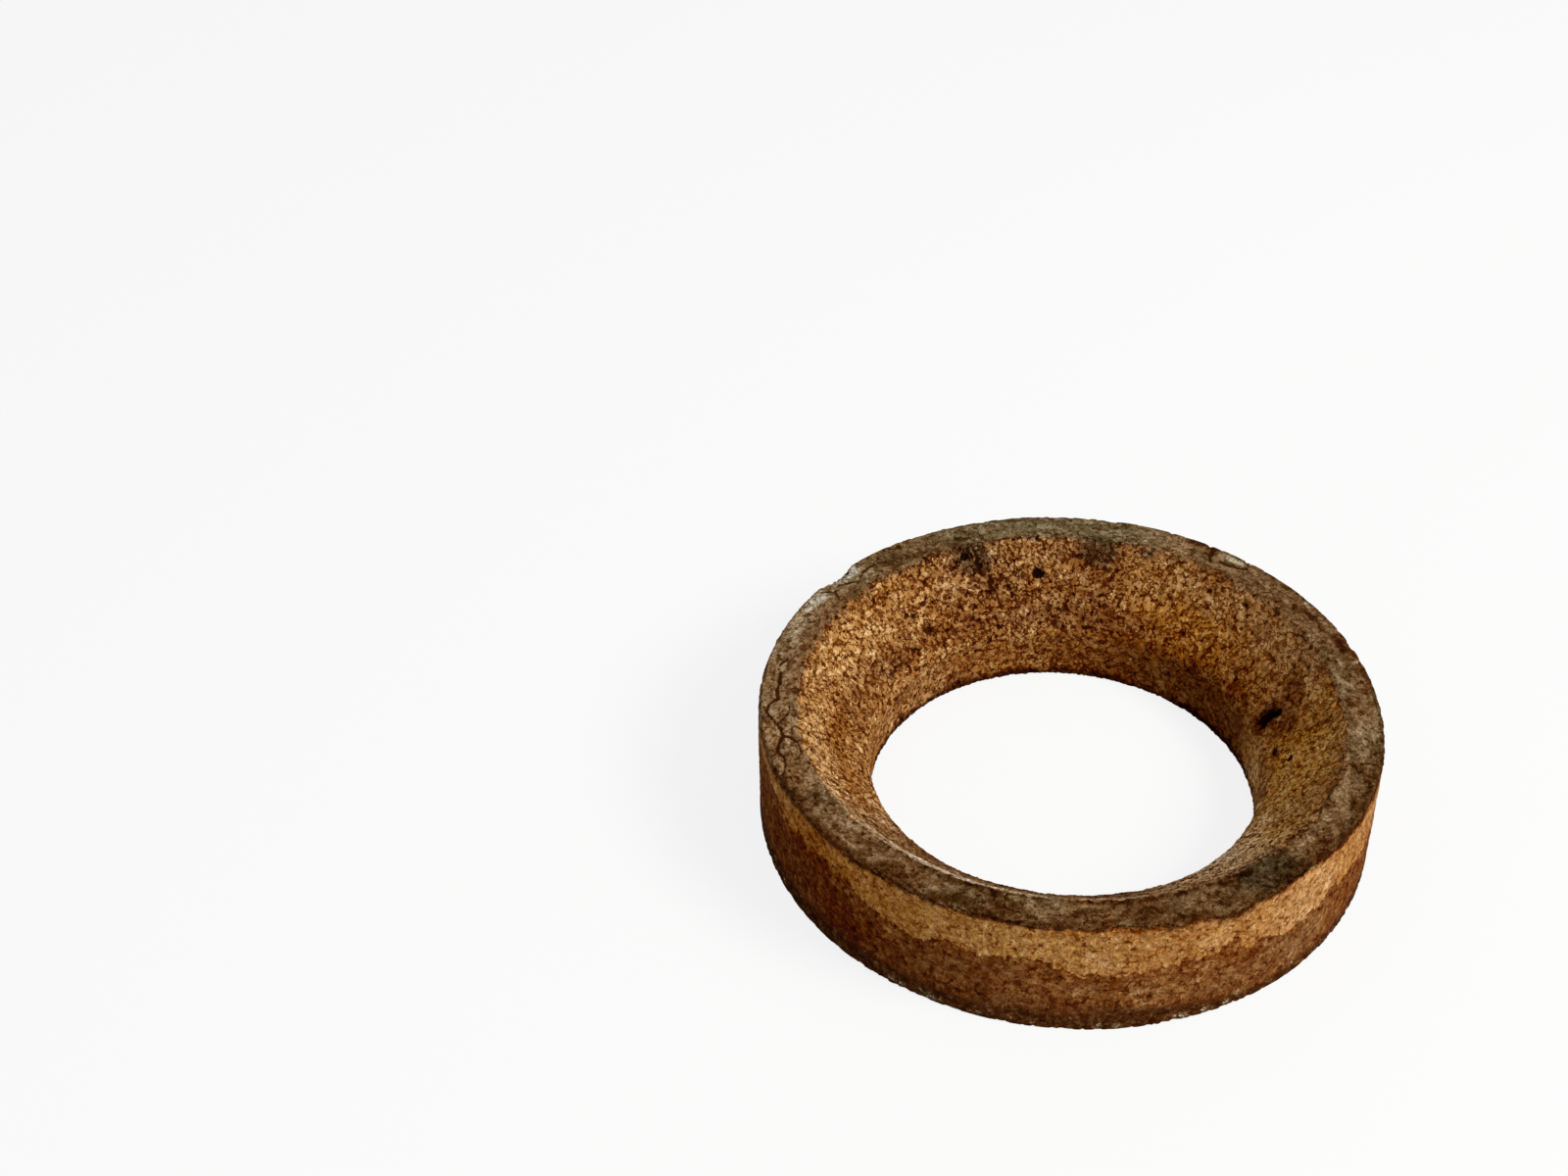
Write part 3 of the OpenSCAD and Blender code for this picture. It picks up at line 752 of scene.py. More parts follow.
rimPatches = [
    (-169, 65.5, 30, 12, 0.3, -0.25), (-112, 65.5, 20, 12, -0.15, -0.1), (-86, 65.5, 40, 12, -0.45, -0.2),
    (-135, 65.5, 30, 12, 0, -0.15), (-25, 65.5, 40, 12, -0.4, 0), (20, 65.5, 54, 12, -0.25, -0.06),
    (160, 65.5, 50, 12, 0.15, -0.2), (150, 62.6, 74, 3, -0.28, -0.1), (148, 67.8, 40, 5, 0.4, 0.25),
    (-140, 68.6, 36, 2.4, -0.6, -0.1), (-112, 65.7, 16, 10, -0.75, -0.03), (-131, 66.6, 5, 3.5, -0.6, 0),
    (-156, 68, 12, 3, -0.9, -0.1), (-100, 64.6, 10, 7, 0.2, 0.1), (-89, 66.5, 3, 5.5, 0.25, -0.25),
    (-83.5, 65, 6.5, 8.5, -0.75, 0), (-73, 65.5, 9, 6, -0.1, -0.03), (-56.5, 65, 17, 9, -0.3, 0.2),
    # (-35, 62.3, ...) and (-5, 62.5, ...) darken the ridge at the rim's inner edge where the lamp lights it:
    # painted shade
    (-48, 62.3, 44, 3.4, -0.5, 0), (-35, 62.3, 9, 3, -0.4, -0.1), (-5, 62.5, 10, 3, -0.45, -0.1),
    (-66, 65.5, 9, 9, -0.6, 0), (-125, 65.5, 11, 8, -0.6, -0.1), (-115, 65.5, 10, 8, 0.35, 0.25),
    (-105, 66, 9, 6, -0.35, 0), (-75, 64.5, 9, 6, 0.2, 0.2), (-75, 68.4, 9, 2.6, -0.5, 0),
    (-45, 67, 8, 5, -0.75, -0.1), (-160, 65.7, 22, 3, -0.45, -0.1), (-145, 63, 11, 3.4, 0.4, 0),
    (-135, 68.4, 10, 2.6, 0.4, 0.1), (-85, 68.4, 9, 2.8, 0.35, 0.2), (-15, 62.6, 10, 3, 0.1, 0.2),
    (5, 62.2, 34, 3, -0.35, 0.3), (45, 62.6, 9, 3, -0.45, 0), (125, 66.5, 11, 8, -0.4, 0),
    (135, 64, 10, 5, 0.35, 0.1), (-53.3, 67.4, 11.5, 4.4, -0.5, -0.1), (-46.6, 64.4, 9, 4.5, 0.1, -0.05),
    (-31.4, 67.4, 5, 3.6, -0.9, -0.05), (-22.5, 67.4, 5.5, 2.8, -0.8, -0.2),
    (-12.5, 66, 12.5, 6.2, 0.25, 0.15), (15.5, 67.6, 11, 3.6, -0.7, -0.3), (6, 65.4, 16, 5, 0.15, 0.1),
    (5, 67.6, 10, 3.4, -0.25, -0.25), (30, 65.5, 22, 8, -0.15, -0.12), (48, 67.9, 6.6, 3.2, 0.75, 0.4),
    (61.5, 65.3, 14, 7.5, 0.25, -0.05), (80, 65.3, 36, 10, 0, 0.45), (102, 66, 30, 10, -0.12, 0.33),
    (53.6, 66.2, 2.8, 9, -1.1, 0.1), (110.2, 63.2, 5.2, 4.2, -0.9, 0), (126, 65.6, 7.5, 6.5, -0.6, 0.1),
    (136, 67.8, 9, 3.8, 0.75, 0.5), (146, 67.6, 10, 4, 0.4, 0.45), (160, 65.8, 22, 7, 0.2, 0.1),
    (176, 66.8, 8, 3.4, -0.2, 0.1), (-39.2, 67.2, 9, 4, -0.5, -0.2), (-49.9, 66.1, 7, 4, -0.5, -0.1),
    (-64.6, 61.8, 5, 3, -0.8, -0.1), (-37.8, 62.5, 8, 3.4, 0.8, 0.15), (-55.3, 63.2, 6, 3.2, 0.7, 0.1),
    (8.4, 62.8, 8, 4, 0.8, 0), (41, 68.8, 6, 2.6, -0.9, -0.1), (-128.5, 66.1, 5, 4, -0.75, -0.1),
    (-115.5, 69.2, 8, 2.6, 0.9, 0.2), (-123, 69.6, 6, 2.4, 0.5, 0.1), (163.7, 68.9, 8, 2.6, 0.4, 0.1),
    (-26.5, 64.2, 9, 4.5, 0.3, 0.1), (-108, 66, 52, 9, -0.16, 0), (-45, 63.2, 32, 3.6, 0.32, 0),
    (-14, 63.4, 13, 3.6, 0.35, 0), (102, 63.2, 24, 3, 0.32, 0), (120, 63.2, 20, 3.2, -0.3, 0),
    (38, 63.2, 34, 3.4, -0.2, 0), (135, 65.4, 11, 3, 0.3, 0.05), (-25, 66, 10, 5, -0.2, 0),
    (-165, 65.6, 10, 3, -0.3, 0), (-44.4, 67.2, 6.5, 3.8, -0.6, -0.1), (-28.9, 67.4, 7.5, 3.4, -0.5, 0),
    (57, 65.5, 26, 10, -0.05, -0.07), (-4, 65.8, 10, 4, -0.25, -0.05), (-62, 68, 9, 3, -0.4, -0.1),
    (56, 68.4, 10, 2.6, -0.4, -0.2), (-178, 65.7, 4.4, 4.8, 0.1, 0.1), (-167.6, 64.8, 6.6, 4.4, 0.1, 0.15),
    (-173.2, 68.4, 7, 2.6, 0.25, -0.12),
]

wallPatches = [
    (-146, 6, 26, 14, 0, -0.14), (-110, 6, 44, 14, 0.25, -0.05), (-75, 19, 30, 12, 0.2, 0.1),
    (-50, 14, 26, 28, 0.2, 0.15), (-108, 19, 44, 13, 0.14, 0.07), (-62, 6, 60, 13, 0.1, 0.05),
    (-147, 6, 28, 12, -0.25, -0.04), (-150, 18, 46, 22, -0.55, -0.1), (-120, 20, 30, 16, -0.21, -0.02),
    (-56, 22, 34, 12, 0.06, 0.17), (-82, 21, 22, 12, 0.1, 0), (-80.3, 15.3, 2.6, 3.4, 0.25, -0.1),
    (-82.3, 18.8, 3.5, 1.8, 0.9, 0.4), (-80.9, 16.1, 3.2, 0.8, 0.7, 0.3), (-81.3, 22.8, 3.4, 0.9, 0.6, 0.3),
    (-80.8, 21, 1.8, 1.3, -0.8, -0.14), (-51, 8.8, 2.6, 2, -0.2, 0.2), (-88, 24, 16, 3, -0.3, 0.3),
    (-105, 25, 18, 4, -0.35, 0.1), (20, 21, 50, 14, -0.2, -0.04), (-135, 21, 24, 13, -0.35, -0.1),
    # (-6, 1.4, ...) darkens the wall's top edge on the right
    (-110, 24, 90, 6, -0.15, 0.04), (-6, 1.4, 56, 5, -1.2, 0.4), (-26, 6, 24, 12, 0.1, 0.15),
    (-90, 8, 9, 15, 0.25, 0.05), (-91.4, 17.8, 9, 6, 0.35, 0.15), (-130, 7, 26, 16, 0, -0.1),
    (-100, 8.5, 12, 5, 0.25, 0.05), (-70, 8.5, 11, 5, 0.2, 0.05), (-50, 13.5, 11, 5, 0.17, 0.03),
    (-150, 23, 14, 6, 0.2, 0.1), (-70, 23.5, 11, 4, 0.2, 0.1), (-85, 11.8, 7, 4, 0.3, 0),
    (80, 19, 40, 16, -0.3, -0.06), (120, 6, 40, 11, -0.15, -0.01), (150, 20, 40, 18, -0.4, -0.07),
]

veils = [  # direction, place along the section, width, height, stops darker: soot and grease over everything
    (-56.5, onRim(65), 17, 9, 1.25), (77.2, onSeat(3), 11, 8, 0.85), (65.8, onSeat(1.8), 3.7, 2.6, 0.7),
    (107.4, onSeat(3.6), 10, 8.8, 0.9), (10, onSeat(18.4), 4.6, 6.5, 1.3), (35, 6.5, 40, 18, 0.15),
    (91.5, onSeat(9.3), 2.6, 2.6, 0.8), (-60.3, onRim(62.2), 4.5, 2.4, 0.9),
    (-37, onRim(68.4), 10, 1.6, 0.6),
]

paleSpots = [  # direction, place along the section, width, height: bleached or dusty granules
    (10.3, onRim(68.2), 1.1, 2.6), (15.7, onRim(68.6), 1.2, 2.2), (10, onSeat(19.2), 0.8, 0.9),
    (-60, onSeat(23.2), 3.2, 1.8), (-54, onSeat(22.6), 2.6, 1.6), (-46, onSeat(20.5), 3, 2),
    (-41, onSeat(23.4), 2.2, 1.6), (-50.5, onSeat(21.8), 2.4, 1.8), (-63.5, onSeat(24), 2.2, 1.4),
    (-56.5, onSeat(21.8), 2, 1.4), (29, onRim(68.4), 3.4, 1.2), (-107, onRim(62.8), 4.2, 1.5),
    (-103.6, onRim(62.9), 3, 1.6), (-99, onRim(62.4), 3.6, 1.3), (-114, onRim(62.4), 1.4, 1.2),
    (-40.6, onRim(66.4), 2.4, 1), (-24.6, onRim(68.6), 2.6, 1), (-6.4, onRim(68.6), 2.8, 1.1),
    (-110, onWall(28.6), 1.5, 0.8), (-117, onWall(28.2), 1.6, 0.9), (-114, onWall(28.9), 1.3, 0.7),
    (-89, onWall(28.6), 1.4, 0.7), (-76, onWall(28.9), 1.3, 0.6), (-121, onWall(27.6), 1.2, 0.8),
    (-66, onWall(28.2), 2.6, 1), (-63.6, onWall(27), 2.2, 1.8), (-124.6, onWall(28.2), 3, 1),
    (-119.4, onWall(28.4), 3.6, 1.7), (-74.2, onWall(28.8), 3, 1.4), (-22, onSeat(23.6), 3.4, 2.2),
    (-30, onSeat(23.8), 2.6, 1.8), (-36, onSeat(24), 2.6, 1.6), (-86, onWall(28.8), 2.6, 0.9),
    (-70.5, onWall(28.4), 2, 0.9), (-127, onWall(28.6), 1.6, 0.7),
]

ownStep = granule - 0.5  # each granule's own, from -0.5 to 0.5


def dentBy(places, surface):
    # hollows: how far each point sinks, how far it is from the nearest one's edge, how dark that one is
    deep = np.zeros(len(angle))
    nearest = np.full(len(angle), wear["farOff"])
    dark = np.zeros(len(angle))
    for at, place, wide, tall, depth in places:
        q = ovalAway(at, surface(place), wide, tall, wear["raggedPit"])
        q += ownStep * wear["followGranules"]
        deep = np.maximum(deep, depth * np.sqrt(np.clip(1 - q ** 2 * 0.8, 0, None)))
        edge = (q - 1) * min(wide, tall) / 2
        tint = min(wear["darkestPit"], wear["pitDark"] + wear["darkByDepth"] * depth)
        dark = np.where(edge < nearest, tint, dark)
        nearest = np.minimum(nearest, edge)
    return deep, nearest, dark


def lineCuts(cracks, surface):
    deep = np.zeros(len(angle))
    nearest = np.full(len(angle), wear["farOff"])
    for width, depth, stops in cracks:
        gap = lineAway([(a, surface(p)) for a, p in stops]) + jagged * wear["raggedCrack"]
        gap += ownStep * wear["followGranules"]
        deep = np.maximum(deep, depth * smoothStep(gap, width * 0.5 + 0.35, 0))
        nearest = np.minimum(nearest, gap - width * 0.47)
    return deep, nearest


def softOval(at, place, wide, tall, ragged, end, full):  # 1 well inside the oval, 0 outside it
    return smoothStep(ovalAway(at, place, wide, tall, ragged), end, full)


def paintPatches(patches, surface):
    for at, place, wide, tall, lighter, sootier in patches:
        share = softOval(at, surface(place), wide, tall, *wear["patchEdge"])
        shade[:] += lighter * share
        hue[:] += sootier * share


def biteDepth(bites, edgeAt, inward):
    # shallow scallops at 45 degrees out of an edge of the section, each the cap of a ball
    deep = np.zeros(len(angle))
    for at, length, depth in bites:
        ball = (length ** 2 / 4 + depth ** 2) / (2 * depth)
        turn = np.radians(wrapped(angle - at)) * radius
        edge = (radius - edgeAt[0]) * inward[0] + (height - edgeAt[1]) * inward[1]
        side = np.hypot(turn, (radius - edgeAt[0]) * inward[1] - (height - edgeAt[1]) * inward[0])
        sphere = np.sqrt(np.clip(ball ** 2 - side ** 2, 0, None)) - (ball - depth)
        inside = sphere - edge  # how far the point lies inside the ball
        rough = jagged * 0.3 + ownStep * 0.5
        deep = np.maximum(deep, np.clip(inside + rough * smoothStep(inside, -0.1, 0.5), 0, None))
    return deep


def towards(direction, end, full):  # 1 around a direction, 0 more than end degrees away from it
    return smoothStep(np.abs(wrapped(angle - direction)), end, full)


height = restPlace[:, 2]
depth = np.zeros(len(angle))  # how far every point is cut inwards

skinLine = byAngle(wear["skinEnd"]) - (along - wallAt) + jagged * 0.5 + ownStep * 0.9
rubbed = smoothStep(skinLine, -wear["scuffStep"], wear["scuffStep"])
rubbed *= smoothStep(along, wallAt - 1.2, wallAt + 1)
rubbed *= smoothStep(along, baseAt, baseAt - 2)
depth += byAngle(wear["scuffDepth"]) * rubbed
depth += ownStep * wear["granuleStep"] * smoothStep(np.abs(along - (rimAt + wallAt) / 2), 3.0, 5.5)
crumbled = wear["looseGranule"] * granule + wear["tornEdge"] * np.maximum(jagged - 0.05, 0)
for edgeAlong in (wallAt - 0.6, baseAt - 0.5):
    depth += crumbled * smoothStep(np.abs(along - edgeAlong), 2.2, 0.6)
# the near side bulges a little into the opening, and so does its inner edge
depth -= wear["throatBulge"] * towards(-96, 36, 12) * smoothStep(np.abs(along - throatAt - 2), 11, 3)
lip = wear["lipBulge"] + wear["lipRagged"] * jagged + wear["lipGranules"] * ownStep
depth -= lip * towards(-95, 58, 44) * smoothStep(np.abs(along - rimAt + 2.2), 3.4, 1.6)
# the edges are hardly worn round on the left, the right and at the bottom
unworn = np.maximum(towards(165, 62, 30), towards(22, 60, 40))
depth -= wear["unwornTop"] * unworn * smoothStep(np.abs(along - wallAt + 1.0), 1.1, 0.2)
depth -= wear["unwornFoot"] * smoothStep(np.abs(along - baseAt + 0.5), 1.6, 0.4)
depth -= wear["unwornHole"] * smoothStep(along, 3.4, 0.6)

pitDeep, pitLine, pitDark = dentBy(seatPits, onSeat)
for places, surface in ((rimPits, onRim), (wallPits, onWall)):
    deep, line, dark = dentBy(places, surface)
    pitDeep = np.maximum(pitDeep, deep)
    pitDark = np.where(line < pitLine, dark, pitDark)
    pitLine = np.minimum(pitLine, line)
for half, stops in gouge["parts"]:
    gap = lineAway([(a, onSeat(p)) for a, p in stops]) + jagged * wear["raggedGouge"]
    pitDeep = np.maximum(pitDeep, gouge["depth"] * smoothStep(gap, half + 0.55, 0.1))
    pitDark = np.where(gap - half < pitLine, wear["gougeDark"], pitDark)
    pitLine = np.minimum(pitLine, gap - half)
crackDeep, crackLine = lineCuts(rimCracks, onRim)
deep, line = lineCuts(seatCracks, onSeat)
crackDeep = np.maximum(crackDeep, deep)
crackLine = np.minimum(crackLine, line)
depth += np.maximum(pitDeep, crackDeep)
diagonal = math.sqrt(0.5)
topBite = biteDepth(edgeBites, (outer - 0.25, high), (-diagonal, -diagonal))
footBite = biteDepth(footBites, (outer, 0), (-diagonal, diagonal))
print("marks measured")

moved = readPoints("position", 3) / mm
moved -= restNormal * depth[:, None]
spoke = np.stack([np.cos(np.radians(angle)), np.sin(np.radians(angle)), np.zeros(len(angle))], 1)
upward = np.array([0, 0, 1.0])
moved -= (spoke + upward) * diagonal * topBite[:, None]
moved -= (spoke - upward) * diagonal * footBite[:, None]
# nothing leaves the solid's box
moved[:, 2] = np.clip(moved[:, 2], 0, high)
reach = np.hypot(moved[:, 0], moved[:, 1])
moved[:, :2] *= np.minimum(1, (outer - 0.01) / reach)[:, None]
ringMesh.attributes["position"].data.foreach_set("vector", (moved * mm).astype(np.float32).ravel())
ringMesh.update()

shade = np.zeros(len(angle))  # stops lighter
hue = np.zeros(len(angle))  # 0 as clean cork, 1 as sooty cork
paintPatches(seatPatches, onSeat)
paintPatches(holePatches, onHole)
paintPatches(rimPatches, onRim)
paintPatches(wallPatches, onWall)

fromInner = along - rimAt - byAngle(wear["rimSkinInner"]) + jagged * 0.35
fromOuter = wallAt + byAngle(wear["rimSkinOuter"]) - along + jagged * 0.35
rimLine = np.minimum(fromInner, fromOuter)
outerSide = smoothStep(fromOuter + jagged, 2.8, 0.2) * smoothStep(fromOuter + jagged, -1.8, -0.6)
innerSide = smoothStep(fromInner + jagged * 0.4, 1.6, 0.4) * smoothStep(fromInner, -0.4, 0.1)
shade -= byAngle(wear["outerEdgeDarkening"]) * outerSide + byAngle(wear["innerDirt"]) * innerSide
# the hole's bottom edge is dark
above = byAngle(wear["holeFootDarkening"]) - along + jagged * 2.2 + ownStep * 0.8
holeFootShare = smoothStep(above, -0.5, 0.5) * smoothStep(along, 12, 8)
shade -= wear["holeFootStops"] * holeFootShare
footLine = byAngle(wear["footDirt"]) - (baseAt - along) + jagged * 1.2
footLine = np.where(along > baseAt, 6.0, footLine)  # the whole underside is dirty
contrast = byAngle(wear["contrast"]) * (1 - 0.2 * smoothStep(along, throatAt + 1, throatAt - 4))
veil = wear["holeFootStops"] * holeFootShare
for *oval, darker in veils:
    veil = np.maximum(veil, darker * softOval(*oval, *wear["spotEdge"]))
pale = 0.8 * smoothStep(topBite, 0.15, 0.5)
for oval in paleSpots:
    pale = np.maximum(pale, softOval(*oval, *wear["spotEdge"]))
# the near side's inner edge is made pale, with dust and a painted sheen, and below it the cork is stained
lipDustAndSheen = byAngle(wear["lipDustAndSheen"]) * smoothStep(along + jagged * 0.8, rimAt - 5.4, rimAt - 3.8)
lipDustAndSheen *= smoothStep(fromInner, 0.1, -0.2) * (1.05 + 0.4 * jagged)
stained = byAngle(wear["stain"]) * smoothStep(along, throatAt - 8, throatAt)
stained *= smoothStep(along, rimAt - 3.4, rimAt - 5.4)
further = smoothStep(along + jagged, rimAt - 14, rimAt - 20)
shade -= (wear["seatStain"] + wear["deepStain"] * further) * stained
hue += wear["stainHue"] * stained
wallShare = smoothStep(along, wallAt - 0.5, wallAt + 0.5) * smoothStep(along, baseAt + 1, baseAt - 0.2)


def keepPoints(name, values):
    kind, key = ("FLOAT", "value") if values.ndim == 1 else ("FLOAT_VECTOR", "vector")
    kept = ringMesh.attributes.new(name, kind, "POINT")
    kept.data.foreach_set(key, values.astype(np.float32).ravel())


for name, values in {
    "skinLine": skinLine, "rimLine": rimLine, "footLine": footLine, "wallShare": wallShare,
    "pitLine": pitLine, "pitDark": pitDark, "crackLine": crackLine, "shade": shade, "hue": hue, "pale": pale,
    "contrast": contrast, "veil": veil, "lipDustAndSheen": lipDustAndSheen,
    "ringPlace": np.column_stack([spoke[:, :2] * wear["rimWrap"], along]),
}.items():
    keepPoints(name, values)
for name in ("rimSoft", "fringeDirtAndShadow", "crust"):
    keepPoints(name, byAngle(wear[name]))
for name in ("granule", "jagged", "restNormal", "relief"):
    if name in ringMesh.attributes:
        ringMesh.attributes.remove(ringMesh.attributes[name])
print("marks cut and painted")

bakeLayout = {
    "halves": 2,  # every strip is cut in two, one half above the other
    "gap": 0.004,  # between strips, as a share of the baked image
    "throatSide": 4,  # millimetres of the hole's wall that go with the seat
    "undersideShare": 0.42,  # how finely the underside is baked
    "sectionEnd": 102,  # just past the section's last row
    "spareLength": 12,
}


def layStrips(layout):
    # the ring's surface as straight strips, for baking
    halves = layout["halves"]
    gap = layout["gap"]
    seatFrom = throatAt - layout["throatSide"]
    strips = [(seatFrom, rimAt), (rimAt, wallAt), (wallAt, baseAt)]
    strips += [(0, seatFrom), (baseAt, layout["sectionEnd"])]
    layer = ringMesh.uv_layers.new(name="OFBake")
    corners = np.zeros(len(ringMesh.loops), np.int32)
    ringMesh.loops.foreach_get("vertex_index", corners)
    cornersOf = corners.reshape(-1, 4)  # every face has four corners
    turnsOf = cornersOf // rowCount
    rowsOf = cornersOf % rowCount
    turns = ringShape["turns"]
    lastTurn = (turnsOf.max(1) - turnsOf.min(1)) > 1
    turnsOf = np.where(lastTurn[:, None] & (turnsOf == 0), turns, turnsOf)
    lastRow = (rowsOf.max(1) - rowsOf.min(1)) > 1
    fullAlong = np.append(sectionAlong, sectionAlong[0] + baseAt + outer - hole)
    rowsOf = np.where(lastRow[:, None] & (rowsOf == 0), rowCount, rowsOf)
    up = fullAlong[rowsOf]
    middleUp = up.mean(1)
    half = np.minimum(turnsOf.min(1) * halves // turns, halves - 1)
    perHalf = turns / halves
    across = (turnsOf - half[:, None] * perHalf) / perHalf
    stripCount = len(strips) * halves
    scale = (1 - gap * (stripCount + 4)) / (halves * (baseAt + layout["spareLength"]))
    vertical = np.zeros(up.shape)
    bottom = gap
    for low, top in strips:
        density = scale * (layout["undersideShare"] if low >= baseAt else 1)
        inside = (middleUp >= low) & (middleUp < top)
        if low == 0:
            inside |= middleUp < 0
        for k in range(halves):
            chosen = inside & (half == k)
            vertical[chosen] = bottom + (up[chosen] - low) * density
            bottom += (top - low) * density + gap
    uv = np.stack([gap + across * (1 - 2 * gap), vertical], -1)
    layer.data.foreach_set("uv", uv.astype(np.float32).ravel())
    print("bake strips reach", round(bottom, 3))


layStrips(bakeLayout)


def newGroup(name, inputs, outputs):
    tree = bpy.data.node_groups.new(name, "ShaderNodeTree")
    kinds = {"value": "NodeSocketFloat", "vector": "NodeSocketVector", "colour": "NodeSocketColor"}
    for label, kind, start in inputs:
        socket = tree.interface.new_socket(label, in_out="INPUT", socket_type=kinds[kind])
        if start is not None:
            socket.default_value = start
    for label, kind in outputs:
        tree.interface.new_socket(label, in_out="OUTPUT", socket_type=kinds[kind])
    return tree, addNode(tree, "NodeGroupInput").outputs, addNode(tree, "NodeGroupOutput").inputs


def useGroup(tree, group, values):
    made = addNode(tree, "ShaderNodeGroup", node_tree=group)
    for label, value in values.items():
        feed(tree, made.inputs[label], value)
    return made.outputs


def blend(tree, share, low, high, kind="FLOAT"):
    made = addNode(tree, "ShaderNodeMix", data_type=kind, clamp_factor=kind == "FLOAT")
    feed(tree, made.inputs["Factor"], share)
    sockets = [s for s in made.inputs if s.enabled and s.name in "AB"]
    feed(tree, sockets[0], low)
    feed(tree, sockets[1], high)
    return [s for s in made.outputs if s.enabled][0]


def times(tree, *values):
    product = values[0]
    for value in values[1:]:
        product = calc(tree, "MULTIPLY", product, value)
    return product


def total(tree, *parts):
    # the sum of the parts; a part in brackets is the product of its values
    values = [times(tree, *part) if isinstance(part, tuple) else part for part in parts]
    added = values[0]
    for value in values[1:]:
        added = calc(tree, "ADD", added, value)
    return added


def gapTo(tree, value, middle):
    # how far the value is from the middle
    return calc(tree, "ABSOLUTE", calc(tree, "SUBTRACT", value, middle))


def granuleGroup():
    # pressed granules: the joints between them, the holes they leave, crooked strokes, and a shade for each
    tree, given, out = newGroup(
        "corkGranules",
        [("Place", "vector", None), ("Joint Width", "value", 0.2), ("Open Share", "value", 0.5)],
        [(label, "value") for label in ("Joint", "Hole", "Chip", "Shade", "Height", "Fine", "Lobe")],
    )
    place = given["Place"]
    closed = calc(tree, "SUBTRACT", 1.0, given["Open Share"])

    def granules(where, size):
        # how far each point is from its granule's middle, three values of the granule's own, and its slope
        first = addNode(tree, "ShaderNodeTexVoronoi", voronoi_dimensions="3D", feature="F1")
        feed(tree, first.inputs["Vector"], where)
        first.inputs["Scale"].default_value = 1 / size
        own = addNode(tree, "ShaderNodeSeparateXYZ")
        tree.links.new(first.outputs["Color"], own.inputs["Vector"])
        lean = vectorCalc(tree, "SUBTRACT", first.outputs["Color"], (0.5, 0.5, 0.5))
        fromMiddle = vectorCalc(tree, "SUBTRACT", where, first.outputs["Position"])
        slope = addNode(tree, "ShaderNodeVectorMath", operation="DOT_PRODUCT")
        tree.links.new(lean, slope.inputs[0])
        tree.links.new(fromMiddle, slope.inputs[1])
        return first.outputs["Distance"], own.outputs, slope.outputs["Value"]

    def strokes(shift, wide, low, high):
        # short crooked lines: level lines of a noise, broken by another
        where = vectorCalc(tree, "ADD", place, shift)
        level = gapTo(tree, noise(tree, where, grain["strokeSize"], 2.0, 0.6), 0.5)
        broken = fade(tree, noise(tree, where, grain["strokeSize"] * 0.8, 1.0), low, high)
        return times(tree, fade(tree, level, wide, wide * 0.35), broken)

    warped = wander(tree, place, grain["wobble"])
    edge = times(tree, cells(tree, warped, grain["size"], "DISTANCE_TO_EDGE"), grain["size"])
    toMiddle, own, slope = granules(warped, grain["size"])
    toMiddle = times(tree, toMiddle, grain["size"])
    small = wander(tree, vectorCalc(tree, "ADD", place, (31.0, 17.0, 5.0)), 0.5)
    smallOwn, smallSlope = granules(small, grain["smallSize"])[1:]
    opening = noise(tree, place, grain["openingSize"], 3.0, 0.65)
    least = calc(tree, "MULTIPLY_ADD", closed, 0.36, 0.29)
    opened = fade(tree, opening, least, calc(tree, "ADD", least, 0.14))
    width = times(tree, opened, given["Joint Width"])
    joint = fade(tree, calc(tree, "SUBTRACT", edge, width), -0.04, 0.11, 1.0, 0.0)
    joint = times(tree, joint, calc(tree, "MULTIPLY_ADD", opened, 0.94, 0.06))
    dark = strokes((3.0, 41.0, 11.0), 0.095, 0.475, 0.53)
    feed(tree, out["Joint"], calc(tree, "MAXIMUM", joint, dark))
    # where three granules leave a gap, and where one fell out
    gapFrom = calc(tree, "MULTIPLY_ADD", closed, 0.3, 0.86)
    gapFull = calc(tree, "MULTIPLY_ADD", closed, 0.3, 1.02)
    gone = vectorCalc(tree, "ADD", warped, (7.0, 3.0, 19.0))
    goneOwn = addNode(tree, "ShaderNodeSeparateXYZ")
    size = grain["fallenSize"]
    tree.links.new(cells(tree, gone, size, "F1", "Color"), goneOwn.inputs["Vector"])
    goneSize = times(tree, fade(tree, goneOwn.outputs["X"], 0.6, 1.0), 0.5)
    fine = noise(tree, warped, grain["fineSize"], 3.0, 0.65)
    goneFrom = calc(tree, "SUBTRACT", times(tree, cells(tree, gone, size, "F1"), size), goneSize)
    goneFrom = calc(tree, "ADD", goneFrom, spread(tree, fine, 0.3))
    fallen = times(tree, fade(tree, goneFrom, 0.05, -0.08), fade(tree, goneSize, 0.02, 0.12))
    feed(tree, out["Hole"], calc(tree, "MAXIMUM", fade(tree, toMiddle, gapFrom, gapFull), fallen))
    light = strokes((23.0, 7.0, 37.0), 0.07, 0.46, 0.56)
    feed(tree, out["Chip"], light)
    shades = spread(tree, own["X"], 0.5), spread(tree, smallOwn["Y"], 0.3), spread(tree, fine, 0.7)
    feed(tree, out["Shade"], total(tree, *shades))
    dome = total(tree, (fade(tree, edge, 0.0, 0.45), 0.14), spread(tree, fine, 0.35))
    slopes = total(tree, (slope, 0.9), (smallSlope, 0.9))
    feed(tree, out["Height"], total(tree, dome, slopes, total(tree, (light, 0.35), (dark, -0.45))))
    feed(tree, out["Fine"], fine)
    feed(tree, out["Lobe"], total(tree, spread(tree, own["Y"], 0.8), (fade(tree, edge, 0.0, 0.7), 0.9)))
    return tree


